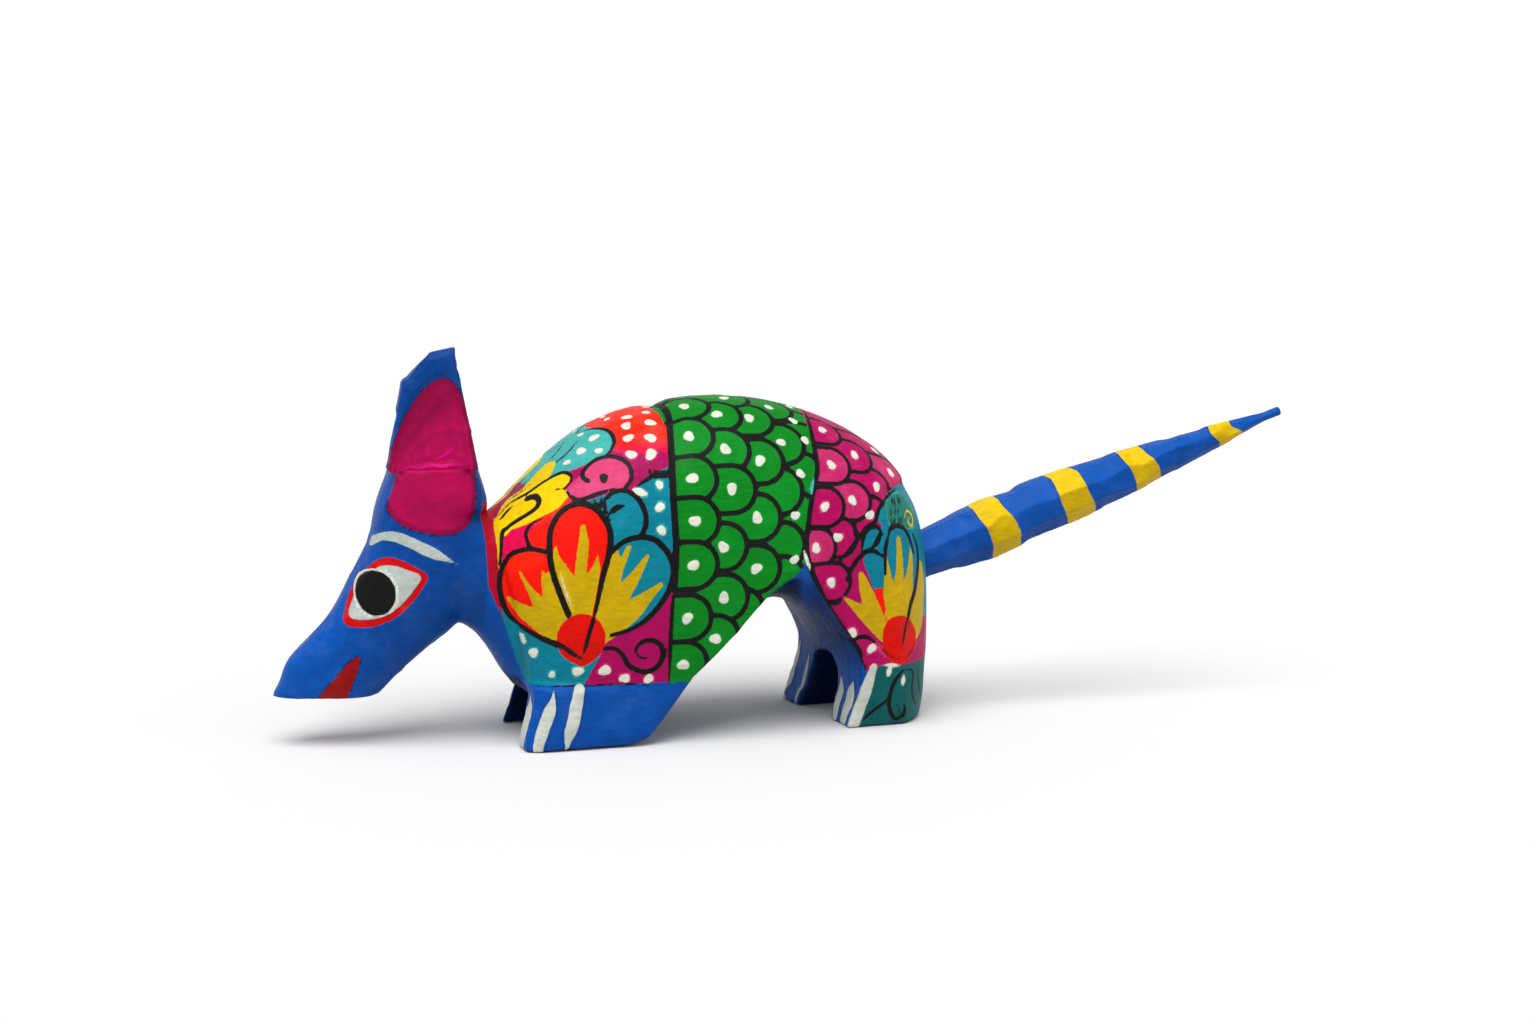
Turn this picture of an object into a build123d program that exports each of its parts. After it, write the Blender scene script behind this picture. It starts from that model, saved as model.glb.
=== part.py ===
"""A hand-carved wooden armadillo figure: one body block, two ears and a tail.

Millimetres, +Z up, head towards -X, tail towards +X, the animal's right side towards +Y.
The origin is on the ground under the middle of the whole figure.
"""

import os

from build123d import *

# Body block: half widths and heights of the arches between the feet
chest_arch = (6.6, 12.0)
hind_arch = (6.2, 15.0)
side_reach = 27.0

# Rump: rounded in plan about an upright line, and barrelled from top to bottom
rump_centre_x = 7.3
rump_cut_x = 15.0
rump_radii = [
    (21.0, -8.0),
    (23.2, 5.0),
    (24.0, 18.0),
    (24.0, 31.0),
    (23.3, 41.0),
    (21.2, 50.5),
    (17.2, 59.6),
    (10.0, 66.0),
]

# Head: it hangs forward and down, and looks a little to the animal's right
head_turn = 8.0
neck_root = Vector(-80.0, 0, 0)
crown_z = 65.5
chin_z = 11.3

# Front feet
paw_inner_y = 4.0
paw_outer_y = 22.6
paw_edge = 1.6
paw_front_edge = 4.0

# Ears: flat plates that stand in slots in the crown
ear_width = 21.2
ear_height = 28.0
ear_thickness = 5.6
ear_bevel = 1.2
ear_hollow_depth = 0.8
ear_root = Vector(-101.0, 0, crown_z)
ear_spread = 7.6
ear_tenon = (11.0, 2.8, 9.0)
ear_scales = {"left": 1.0, "right": 0.88}
ear_sets_back = {"left": 0.0, "right": 3.2}

# Tail: whittled to eight sides, with a round tapered peg in a socket in the rump
tail_rise = 18.4
tail_seat = Vector(29.2, 0, 36.9)
tail_seat_radius = 7.4
tail_peg_length = 16.0
tail_peg_radii = (3.9, 3.2)

# Clearances of the push fits, measured on each side
slot_clearance = 0.1
socket_clearance = 0.08
bottom_clearance = 0.5

# The shell with the legs still solid beneath it, from the rim round the neck to the rump:
# back point, point under the ground, half width, where it is widest, squareness above and below
shell_sections = [
    ((-78.4, 52.0), (-63.0, -18.0), 15.5, 0.74, (0.60, 0.60)),
    ((-74.2, 55.0), (-61.5, -18.0), 18.8, 0.73, (0.60, 0.62)),
    ((-66.8, 61.6), (-58.5, -18.0), 21.6, 0.71, (0.60, 0.62)),
    ((-54.5, 71.6), (-49.5, -18.0), 24.0, 0.69, (0.60, 0.62)),
    ((-38.0, 77.4), (-35.5, -18.0), 25.0, 0.67, (0.60, 0.62)),
    ((-17.0, 78.6), (-16.0, -18.0), 25.0, 0.66, (0.60, 0.62)),
    ((2.0, 74.2), (0.5, -18.0), 24.2, 0.67, (0.60, 0.64)),
    ((14.0, 68.3), (11.0, -18.0), 22.8, 0.68, (0.60, 0.66)),
    ((24.0, 60.0), (19.5, -18.0), 21.8, 0.69, (0.60, 0.66)),
    ((33.0, 47.5), (29.5, -18.0), 21.4, 0.70, (0.60, 0.66)),
]

# The hollow under the belly, across the left side, the middle and the right side
belly_sections = {
    -side_reach: [
        (-50.0, -6.0),
        (-46.5, 1.0),
        (-36.0, 13.0),
        (-21.0, 28.5),
        (-7.5, 40.5),
        (3.5, 27.0),
        (9.3, 14.0),
        (6.8, 0.0),
        (6.0, -6.0),
    ],
    0: [
        (-50.0, -6.0),
        (-46.0, 1.0),
        (-36.0, 12.5),
        (-21.0, 24.5),
        (-8.0, 30.0),
        (2.0, 24.0),
        (7.4, 14.0),
        (5.0, 0.0),
        (4.0, -6.0),
    ],
    side_reach: [
        (-49.0, -6.0),
        (-46.0, 1.0),
        (-36.0, 13.0),
        (-21.0, 28.5),
        (-8.0, 40.5),
        (3.0, 26.0),
        (7.0, 14.0),
        (2.0, 0.0),
        (0.6, -6.0),
    ],
}

neck_sections = [
    ((-93.0, 57.0), (-90.0, 31.0), 9.5, 0.5, (0.66, 0.66)),
    ((-84.0, 57.5), (-83.5, 27.5), 10.5, 0.5, (0.66, 0.60)),
    ((-78.0, 54.0), (-78.0, 22.5), 12.0, 0.5, (0.66, 0.60)),
    ((-72.0, 52.0), (-72.0, 12.6), 13.5, 0.5, (0.66, 0.62)),
    ((-62.0, 50.0), (-62.0, 12.0), 15.0, 0.5, (0.66, 0.66)),
]

# The head, from the flat crown down to the snout: forehead point, then nape or jaw point
head_sections = [
    ((-100.8, crown_z), (-79.6, crown_z), 11.2, 0.5, (0.80, 0.80)),
    ((-102.9, 56.5), (-79.8, 54.0), 11.6, 0.5, (0.74, 0.76)),
    ((-104.6, 49.0), (-80.8, 38.5), 12.2, 0.5, (0.66, 0.70)),
    ((-107.4, 43.2), (-85.0, 27.4), 12.2, 0.48, (0.62, 0.66)),
    ((-110.6, 36.9), (-91.8, 21.8), 11.2, 0.46, (0.60, 0.64)),
    ((-114.2, 30.6), (-98.9, 15.4), 9.8, 0.45, (0.60, 0.64)),
    ((-119.8, 24.6), (-106.2, 9.2), 8.0, 0.45, (0.60, 0.64)),
    ((-124.8, 18.6), (-114.6, 4.0), 6.2, 0.46, (0.60, 0.64)),
    ((-128.0, 12.0), (-121.6, 0.0), 4.4, 0.5, (0.60, 0.64)),
]

# Front feet: sole front, sole back, heel, top back and top front, as (x, z)
paws = {
    "left": [(-72.6, 0.0), (-49.0, 0.0), (-43.8, 1.6), (-33.0, 14.6), (-71.8, 15.2)],
    "right": [(-67.8, 0.0), (-48.0, 0.0), (-43.0, 1.6), (-33.0, 14.6), (-66.8, 15.4)],
}

# An ear's outline, as shares of its width and height
ear_corners = [(0.0, 0.0), (0.17, 0.72), (0.49, 0.955), (0.77, 1.0), (0.84, 0.68), (1.0, 0.0)]

# The tail's half thickness at distances behind its seat
tail_stations = [
    (0.0, 5.3),
    (9.0, 6.0),
    (19.0, 7.2),
    (27.0, 6.7),
    (41.0, 6.7),
    (61.0, 5.2),
    (84.0, 2.9),
    (102.8, 0.7),
]


def oval_section(top, low, half_width, widest, full):
    """A closed oval between two points of the middle plane, each given as (x, z).

    widest is how far along from low to top the oval is widest, and full is the squareness
    of the halves above and below that: 0.55 is an ellipse, and more is squarer.
    """
    high = Vector(top[0], 0, top[1])
    base = Vector(low[0], 0, low[1])
    height = (high - base).length
    upright = (high - base).normalized()
    middle = Plane(
        origin=base + upright * height * widest,
        x_dir=(0, -1, 0),
        z_dir=Vector(0, -1, 0).cross(upright),
    )
    reaches = (height * (1 - widest), -height * widest)
    with BuildSketch(middle) as section:
        with BuildLine():
            for reach, squareness in zip(reaches, full):
                for side in (half_width, -half_width):
                    Bezier(
                        (side, 0),
                        (side, squareness * reach),
                        (squareness * side, reach),
                        (0, reach),
                    )
        make_face()
    return section.sketch


def belly_section(y, points):
    """A face in the plane at y, smooth through its points and closed by a straight line."""
    with BuildSketch(Plane.XZ.offset(-y)) as section:
        with BuildLine():
            curve = Spline(*points)
            Line(curve @ 1, curve @ 0)
        make_face()
    return section.sketch


def ear_plane(side, out=0.0):
    """An ear's upright middle plane, moved out from it, with its origin at the ear's root."""
    outward = -1 if side == "left" else 1
    from_neck = ear_root - neck_root + Vector(ear_sets_back[side], outward * ear_spread, 0)
    facing = Vector(0, outward, 0).rotate(Axis.Z, -head_turn)
    return Plane(
        origin=neck_root + from_neck.rotate(Axis.Z, -head_turn) + facing * out,
        x_dir=Vector(-outward, 0, 0).rotate(Axis.Z, -head_turn),
        z_dir=facing,
    )


def ear_points(side, shares):
    """Points of an ear in its own plane, from shares of its width and height."""
    backward = 1 if side == "left" else -1
    size = ear_scales[side]
    return [(backward * x * ear_width * size, z * ear_height * size) for x, z in shares]


def tenon_box(side, clearance=0.0, extra_depth=0.0):
    """The tongue under an ear, or the slot for it when clearances are given."""
    width, thickness, depth = ear_tenon
    middle = ear_points(side, [(0.5, 0)])[0]
    reach = depth + extra_depth
    with BuildPart(mode=Mode.PRIVATE) as tongue:
        with BuildSketch(ear_plane(side)):
            with Locations((middle[0], -reach / 2 + clearance)):
                Rectangle(width + 2 * clearance, reach + 2 * clearance)
        extrude(amount=thickness / 2 + clearance, both=True)
    return tongue.part


def tail_plane(distance):
    """A plane square to the tail's axis, at a distance behind its seat on the rump."""
    along = Vector(1, 0, 0).rotate(Axis.Y, -tail_rise)
    return Plane(origin=tail_seat + along * distance, x_dir=(0, 1, 0), z_dir=along)


def tail_peg(clearance=0.0, extra_depth=0.0):
    """The round taper on the end of the tail, or its socket when clearances are given."""
    wide, narrow = tail_peg_radii
    with BuildPart(mode=Mode.PRIVATE) as peg:
        with BuildSketch(tail_plane(0.0)):
            Circle(wide + clearance)
        with BuildSketch(tail_plane(-tail_peg_length - extra_depth)):
            Circle(narrow + clearance)
        loft()
    return peg.part


def paw_block(side):
    """A front foot, with its outer face's edges knocked off."""
    outward = -1 if side == "left" else 1
    with BuildPart(mode=Mode.PRIVATE) as paw:
        with BuildSketch(Plane.XZ.offset(-outward * paw_inner_y)):
            Polygon(*paws[side], align=None)
        extrude(amount=-outward * (paw_outer_y - paw_inner_y))
        front_edges = paw.faces().sort_by(Axis.X)[0].edges().filter_by(Axis.Y, reverse=True)
        chamfer(front_edges, paw_front_edge)
        outer_face = paw.faces().sort_by(Axis.Y)[0 if side == "left" else -1]
        chamfer(outer_face.edges(), paw_edge)
    return paw.part


def foot_arch(half_width, height, x_from, x_to):
    """The waste between two feet: upright sides and a half-round top."""
    with BuildPart(mode=Mode.PRIVATE) as waste:
        with BuildSketch(Plane.YZ.offset(x_from)):
            with Locations((0, -half_width)):
                Rectangle(2 * half_width, 2 * height)
            with Locations((0, height - half_width)):
                Circle(half_width)
        extrude(amount=x_to - x_from)
    return waste.part


os.makedirs("parts", exist_ok=True)

# Waste behind the rump, with the rump's rounding taken out of it
with BuildPart() as rump_waste:
    with Locations((rump_cut_x + 20, 0, 25)):
        Box(40, 60, 66)
    with BuildSketch(Plane.XZ):
        with BuildLine():
            rump_side = Spline(*[(rump_centre_x + r, z) for r, z in rump_radii])
            Polyline(rump_side @ 1, (rump_centre_x, 66.0), (rump_centre_x, -8.0), rump_side @ 0)
        make_face()
    revolve(axis=Axis((rump_centre_x, 0, 0), (0, 0, 1)), mode=Mode.SUBTRACT)

with BuildPart() as shell:
    loft([oval_section(*s) for s in shell_sections])
    add(rump_waste.part, mode=Mode.SUBTRACT)
    loft([belly_section(y, p) for y, p in belly_sections.items()], mode=Mode.SUBTRACT)

with BuildPart() as neck:
    loft([oval_section(*s) for s in neck_sections])

with BuildPart() as straight_head:
    loft([oval_section(*s) for s in head_sections])
    split(bisect_by=Plane.XY.offset(chin_z), keep=Keep.TOP)
head = straight_head.part.rotate(Axis(neck_root, (0, 0, 1)), -head_turn)

front_feet = [paw_block(side) for side in paws]
arches = [foot_arch(*chest_arch, -95.0, -25.0), foot_arch(*hind_arch, -5.0, 40.0)]
sockets = [tail_peg(socket_clearance, bottom_clearance)]
sockets += [tenon_box(side, slot_clearance, bottom_clearance) for side in ear_scales]

with BuildPart() as body:
    for piece in [shell.part, neck.part, head] + front_feet:
        add(piece)
    split(bisect_by=Plane.XY, keep=Keep.TOP)
    for waste in arches + sockets:
        add(waste, mode=Mode.SUBTRACT)
    # A flat seat for the tail
    with BuildSketch(tail_plane(0.0)):
        Circle(tail_seat_radius)
    extrude(amount=20.0, mode=Mode.SUBTRACT)
body.part.label = "body"
export_step(body.part, "parts/body.step")

# Each ear: a bevelled plate with a shallow hollow in its outer face, on its tongue
tongues = {side: tenon_box(side) for side in ear_scales}
for side in ear_scales:
    with BuildPart() as ear:
        with BuildSketch(ear_plane(side)):
            Polygon(*ear_points(side, ear_corners), align=None)
        extrude(amount=ear_thickness / 2, both=True)
        faces = ear.faces().sort_by(Axis(ear_plane(side).origin, ear_plane(side).z_dir))
        rims = faces[0].edges() + faces[-1].edges()
        chamfer(rims.filter_by(lambda e: e.center().Z > crown_z + 0.1), ear_bevel)
        with BuildSketch(ear_plane(side, ear_thickness / 2)):
            with BuildLine():
                rise = Bezier(*ear_points(side, [(0.08, 0), (0.06, 0.42), (0.34, 0.74), (0.58, 0.80)]))
                fall = Bezier(*ear_points(side, [(0.58, 0.80), (0.72, 0.83), (0.86, 0.46), (0.90, 0)]))
                Line(fall @ 1, rise @ 0)
            make_face()
        extrude(amount=-ear_hollow_depth, mode=Mode.SUBTRACT)
        add(tongues[side])
    ear.part.label = side + "_ear"
    export_step(ear.part, f"parts/{side}_ear.step")

peg = tail_peg()
with BuildPart() as tail:
    for distance, half_thickness in tail_stations:
        with BuildSketch(tail_plane(distance)):
            RegularPolygon(half_thickness, 8, major_radius=False, rotation=22.5)
    loft(ruled=True)
    add(peg)
tail.part.label = "tail"
export_step(tail.part, "parts/tail.step")
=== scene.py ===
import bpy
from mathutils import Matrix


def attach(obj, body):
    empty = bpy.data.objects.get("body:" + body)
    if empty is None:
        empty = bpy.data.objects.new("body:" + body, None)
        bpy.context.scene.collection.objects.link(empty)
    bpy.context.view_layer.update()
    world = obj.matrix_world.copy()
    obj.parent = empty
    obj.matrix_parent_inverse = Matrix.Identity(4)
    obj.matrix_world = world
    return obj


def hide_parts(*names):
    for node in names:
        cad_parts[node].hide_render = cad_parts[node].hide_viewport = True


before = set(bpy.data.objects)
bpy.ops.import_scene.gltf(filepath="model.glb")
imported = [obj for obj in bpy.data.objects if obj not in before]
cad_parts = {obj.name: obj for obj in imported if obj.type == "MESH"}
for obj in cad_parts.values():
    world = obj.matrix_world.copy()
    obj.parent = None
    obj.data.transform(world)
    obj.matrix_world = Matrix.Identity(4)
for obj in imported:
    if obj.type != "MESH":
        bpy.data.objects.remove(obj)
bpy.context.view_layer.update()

# Looks of a carved and painted wooden armadillo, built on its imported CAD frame.
# The head points to -X, the near side is the left one, at -Y, and Z = 0 is the ground.
# Lengths are millimetres until they go into a mesh, a light or the camera.
# Each piece is a fine skin over its CAD node. It is softened and whittled, and then painted:
# every layer of paint is a vertex attribute that holds the distance in millimetres to the
# paint's edge, negative where there is paint, so that the material can draw a crisp edge.

import math

import bmesh
import bpy
import numpy as np
from mathutils import Vector
from mathutils.bvhtree import BVHTree

MM = 0.001
# Paint layers count the distance to their edge up to FAR, and a point within BLEED is covered
FAR = 6.0
BLEED = 0.2

# Where things are on the CAD frame
HEAD_TURN = math.radians(8.0)
NECK_X = -80.0
CROWN_Z = 65.5
EAR_ROOT_X = -101.0
EAR_SPREAD = 7.6
EAR_SIGN = {"left": -1, "right": 1}
EAR_SCALE = {"left": 1.0, "right": 0.88}
EAR_SET_BACK = {"left": 0.0, "right": 3.2}
TENON_BACK = 10.6
SLOT_HALF_LENGTH = 5.6
SLOT_HALF_WIDTH = 1.5
SLOT_FLOOR_Z = 56.0
SOCKET_RADIUS = 4.0
SOCKET_DEPTH = 16.5
FOOT_TOP = 15.5
TAIL_SEAT = np.array([29.2, 0.0, 36.9])
TAIL_RISE = math.radians(18.4)
TAIL_AXIS = np.array([math.cos(TAIL_RISE), 0.0, math.sin(TAIL_RISE)])
RUMP_X = 7.3
RUMP_RADIUS = 24.0
SHELL_Z = 46.0

# Paint layers, lowest first: colour at tone 0 and colour at tone 1, as 8-bit sRGB
PAINTS = {
    "teal": ((0, 116, 138), (74, 172, 162)),
    "deep_teal": ((12, 84, 86), (34, 118, 104)),
    "magenta": ((160, 6, 82), (216, 82, 124)),
    "fuchsia": ((168, 0, 76), (132, 0, 58)),
    # Lilac is painted highlight along the wrinkle at the ears' feet
    "lilac": ((206, 42, 122), (184, 10, 88)),
    "pink": ((212, 8, 74), (246, 66, 52)),
    "green": ((0, 120, 22), (4, 138, 40)),
    "crimson": ((168, 26, 42), (132, 20, 38)),
    "scarlet": ((238, 12, 0), (244, 68, 58)),
    "yellow": ((182, 150, 0), (234, 196, 0)),
    "ball": ((212, 8, 0), (190, 12, 4)),
    "rim": ((192, 34, 34), (138, 22, 22)),
    "black": ((16, 15, 16), (32, 28, 32)),
    "white": ((166, 177, 172), (220, 220, 204)),
    "pupil": ((14, 15, 15), (14, 15, 15)),
    "wood": ((196, 160, 112), (170, 130, 84)),
}
# The bare ground under all layers, at tone 0 and tone 1; the dark navy of tone 1 is painted shade
BLUE = ((29, 83, 167), (6, 22, 60))
# Painted light and shade: paint is a little lighter on surfaces that face this way, as if lit from here,
# and darker on those turned away
TOWARDS_LIGHT = np.array([-0.5, 0.0, 0.85])


def linear(colour):
    """An 8-bit sRGB colour as the linear colour that a shader takes."""
    shares = [c / 255 for c in colour]
    return [c / 12.92 if c <= 0.04045 else ((c + 0.055) / 1.055) ** 2.4 for c in shares] + [1.0]


def smoothstep(value):
    t = np.clip(value, 0.0, 1.0)
    return t * t * (3 - 2 * t)


# ---- Skins -------------------------------------------------------------------------------


def skin(node, voxel):
    """A new object with the surface of a CAD node, in small even faces."""
    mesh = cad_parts[node].data.copy()
    mesh.materials.clear()
    welded = bmesh.new()
    welded.from_mesh(mesh)
    bmesh.ops.remove_doubles(welded, verts=welded.verts, dist=1e-6)
    welded.to_mesh(mesh)
    welded.free()
    piece = bpy.data.objects.new("painted_" + node, mesh)
    bpy.context.scene.collection.objects.link(piece)
    remesh = piece.modifiers.new("even", "REMESH")
    remesh.mode = "VOXEL"
    remesh.voxel_size = voxel * MM
    evaluated = piece.evaluated_get(bpy.context.evaluated_depsgraph_get())
    even = bpy.data.meshes.new_from_object(evaluated)
    piece.modifiers.clear()
    piece.data = even
    even.name = piece.name
    even.shade_smooth()
    return piece


def read_points(piece):
    co = np.empty(len(piece.data.vertices) * 3)
    piece.data.vertices.foreach_get("co", co)
    return co.reshape(-1, 3) / MM


def write_points(piece, points):
    piece.data.vertices.foreach_set("co", (points * MM).ravel())
    piece.data.update()


def read_normals(piece):
    normals = np.empty(len(piece.data.vertices) * 3)
    piece.data.vertices.foreach_get("normal", normals)
    return normals.reshape(-1, 3)


def edge_ends(piece):
    """Every edge, both ways round: the point at one end, and the point at the other."""
    edges = np.empty(len(piece.data.edges) * 2, int)
    piece.data.edges.foreach_get("vertices", edges)
    forward, back = edges[0::2], edges[1::2]
    return np.concatenate([forward, back]), np.concatenate([back, forward])


def soften(piece, keep, rounds):
    """Evens out the surface, except where keep is 1."""
    ends, others = edge_ends(piece)
    points = read_points(piece)
    count = np.bincount(ends, minlength=len(points))[:, None]
    move = 0.5 * (1 - keep)[:, None]
    for _ in range(rounds):
        sums = [np.bincount(ends, points[others, k], len(points)) for k in range(3)]
        points += (np.stack(sums, 1) / count - points) * move
    write_points(piece, points)


def whittle(piece, keep, cuts, depth, reach, lean, seed):
    """Takes flat cuts off the surface, as a knife leaves them, except where keep is 1."""
    random = np.random.default_rng(seed)
    uncut = read_points(piece)
    points = uncut.copy()
    normals = read_normals(piece)
    for at in random.integers(0, len(points), cuts):
        facing = normals[at] + random.normal(0, lean, 3)
        facing /= np.linalg.norm(facing)
        gap = np.linalg.norm(uncut - uncut[at], axis=1)
        ahead = (gap < reach) & (normals @ facing > 0.5)
        height = (points - uncut[at]) @ facing + depth * random.uniform(0.5, 1.0)
        near = ahead & (height > 0)
        # A knife can't cut flat across a hollow
        if ((uncut[near] - uncut[at]) @ facing).max(initial=0) > 2.5 * depth:
            continue
        fade = smoothstep((reach - gap[near]) / (0.3 * reach))
        points[near] -= (height[near] * fade * (1 - keep[near]))[:, None] * facing
    write_points(piece, points)


def blur(piece, values, rounds):
    """Spreads a value over the surface, so that a sharp step turns into a slope."""
    ends, others = edge_ends(piece)
    count = np.bincount(ends, minlength=len(values))
    for _ in range(rounds):
        values = 0.5 * values + 0.5 * np.bincount(ends, values[others], len(values)) / count
    return values


# ---- Addresses on the surfaces -----------------------------------------------------------


def head_frame(points):
    """Points in the head's own frame, as if the head looked straight ahead."""
    dx, dy = points[:, 0] - NECK_X, points[:, 1]
    c, s = math.cos(HEAD_TURN), math.sin(HEAD_TURN)
    return np.stack([NECK_X + c * dx - s * dy, s * dx + c * dy, points[:, 2]], 1)


def tail_frame(points):
    """Points as distance behind the tail's seat, sideways and up from its axis."""
    from_seat = points - TAIL_SEAT
    up = np.array([-TAIL_AXIS[2], 0.0, TAIL_AXIS[0]])
    return np.stack([from_seat @ TAIL_AXIS, from_seat[:, 1], from_seat @ up], 1)


class ShellMap:
    """Unrolls one side of the shell: x along it, and height, then the way up over the back."""

    def __init__(self, points, tree):
        self.tree = tree
        self.stations = np.arange(-77.0, 32.0, 2.0)
        tops, widths = [], []
        for x in self.stations:
            slice_points = points[np.abs(points[:, 0] - x) < 1.6]
            middle = slice_points[np.abs(slice_points[:, 1]) < 4]
            waist = slice_points[np.abs(slice_points[:, 2] - 44) < 8]
            tops.append(middle[:, 2].max(initial=0) - SHELL_Z)
            widths.append(np.abs(waist[:, 1]).max(initial=0))
        self.tops = np.maximum(tops, 8.0)
        self.widths = np.maximum(widths, 8.0)
        x, y, z = points.T
        rise, half, scale = self.sizes(x)
        angle = np.arctan2((z - SHELL_Z) / rise, np.abs(y) / half)
        self.flat = np.stack([x, np.where(z > SHELL_Z, SHELL_Z + angle * scale, z)], 1)

    def sizes(self, x):
        rise = np.interp(x, self.stations, self.tops)
        half = np.interp(x, self.stations, self.widths)
        return rise, half, np.sqrt((rise * rise + half * half) / 2)

    def lift(self, address):
        u, v = address
        rise, half, scale = self.sizes(u)
        if v <= SHELL_Z:
            hit = self.tree.ray_cast(Vector((u, -60, v)), Vector((0, 1, 0)))[0]
        else:
            angle = (v - SHELL_Z) / scale
            out = Vector((0, -half * math.cos(angle), rise * math.sin(angle))).normalized()
            hit = self.tree.ray_cast(Vector((u, 0, SHELL_Z)) + 60 * out, -out)[0]
        return hit if hit is not None else self.tree.find_nearest(Vector((u, -20, v)))[0]


class RumpMap:
    """Unrolls one side of the rump round its upright axis."""

    def __init__(self, points, tree):
        self.tree = tree
        x, y, z = points.T
        turn = np.arctan2(x - RUMP_X, np.abs(y))
        self.flat = np.stack([np.where(x > RUMP_X, RUMP_X + RUMP_RADIUS * turn, x), z], 1)

    def lift(self, address):
        u, v = address
        turn = max(u - RUMP_X, 0.0) / RUMP_RADIUS
        foot = Vector((min(u, RUMP_X), 0, v))
        out = Vector((math.sin(turn), -math.cos(turn), 0))
        hit = self.tree.ray_cast(foot + 60 * out, -out)[0]
        return hit if hit is not None else foot + RUMP_RADIUS * out


class SurfaceMap:
    """Addresses that are points in space, moved onto the surface."""

    def __init__(self, points, tree):
        self.tree = tree
        self.flat = points

    def lift(self, address):
        return self.tree.find_nearest(Vector(address))[0]


class SideMap:
    """One side of a piece seen square on, so that an address is a distance along and a height."""

    def __init__(self, points):
        self.flat = points[:, [0, 2]]


# ---- Paint -------------------------------------------------------------------------------


def curve(points, closed=False, steps=7):
    """Points on a smooth curve through the given ones."""
    p = np.array(points, float)
    if closed:
        knots = np.vstack([p[-1], p, p[0], p[1]])
    else:
        knots = np.vstack([2 * p[0] - p[1], p, 2 * p[-1] - p[-2]])
    t = np.linspace(0, 1, steps, endpoint=False)[:, None]
    spans = []
    for a, b, c, d in zip(knots, knots[1:], knots[2:], knots[3:]):
        cubic = (3 * b - a - 3 * c + d) * t**3
        spans.append(0.5 * (2 * b + (c - a) * t + (2 * a - 5 * b + 4 * c - d) * t**2 + cubic))
    if not closed:
        spans.append(p[-1:])
    return np.vstack(spans)


def to_line(points, line):
    """Each point's distance from a broken line, and how far along it the nearest place is."""
    starts, spans = line[:-1], line[1:] - line[:-1]
    lengths = np.maximum(np.einsum("ij,ij->i", spans, spans), 1e-9)
    along = np.einsum("kmj,mj->km", points[:, None] - starts, spans) / lengths
    along = np.clip(along, 0, 1)
    gaps = points[:, None] - starts - along[..., None] * spans
    square = np.einsum("kmj,kmj->km", gaps, gaps)
    nearest = square.argmin(1)
    rows = np.arange(len(points))
    steps = np.sqrt(lengths)
    walked = np.concatenate([[0], np.cumsum(steps)])
    place = walked[nearest] + along[rows, nearest] * steps[nearest]
    return np.sqrt(square[rows, nearest]), place / walked[-1]


def inside(flat, outline):
    """Whether each flat point is inside a closed outline."""
    x, y = flat[:, :1], flat[:, 1:]
    ax, ay = outline.T
    bx, by = np.roll(outline, -1, 0).T
    crosses = (ay > y) != (by > y)
    with np.errstate(divide="ignore", invalid="ignore"):
        reach = (bx - ax) * (y - ay) / (by - ay) + ax
    return (np.count_nonzero(crosses & (x < reach), 1) % 2).astype(bool)


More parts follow.
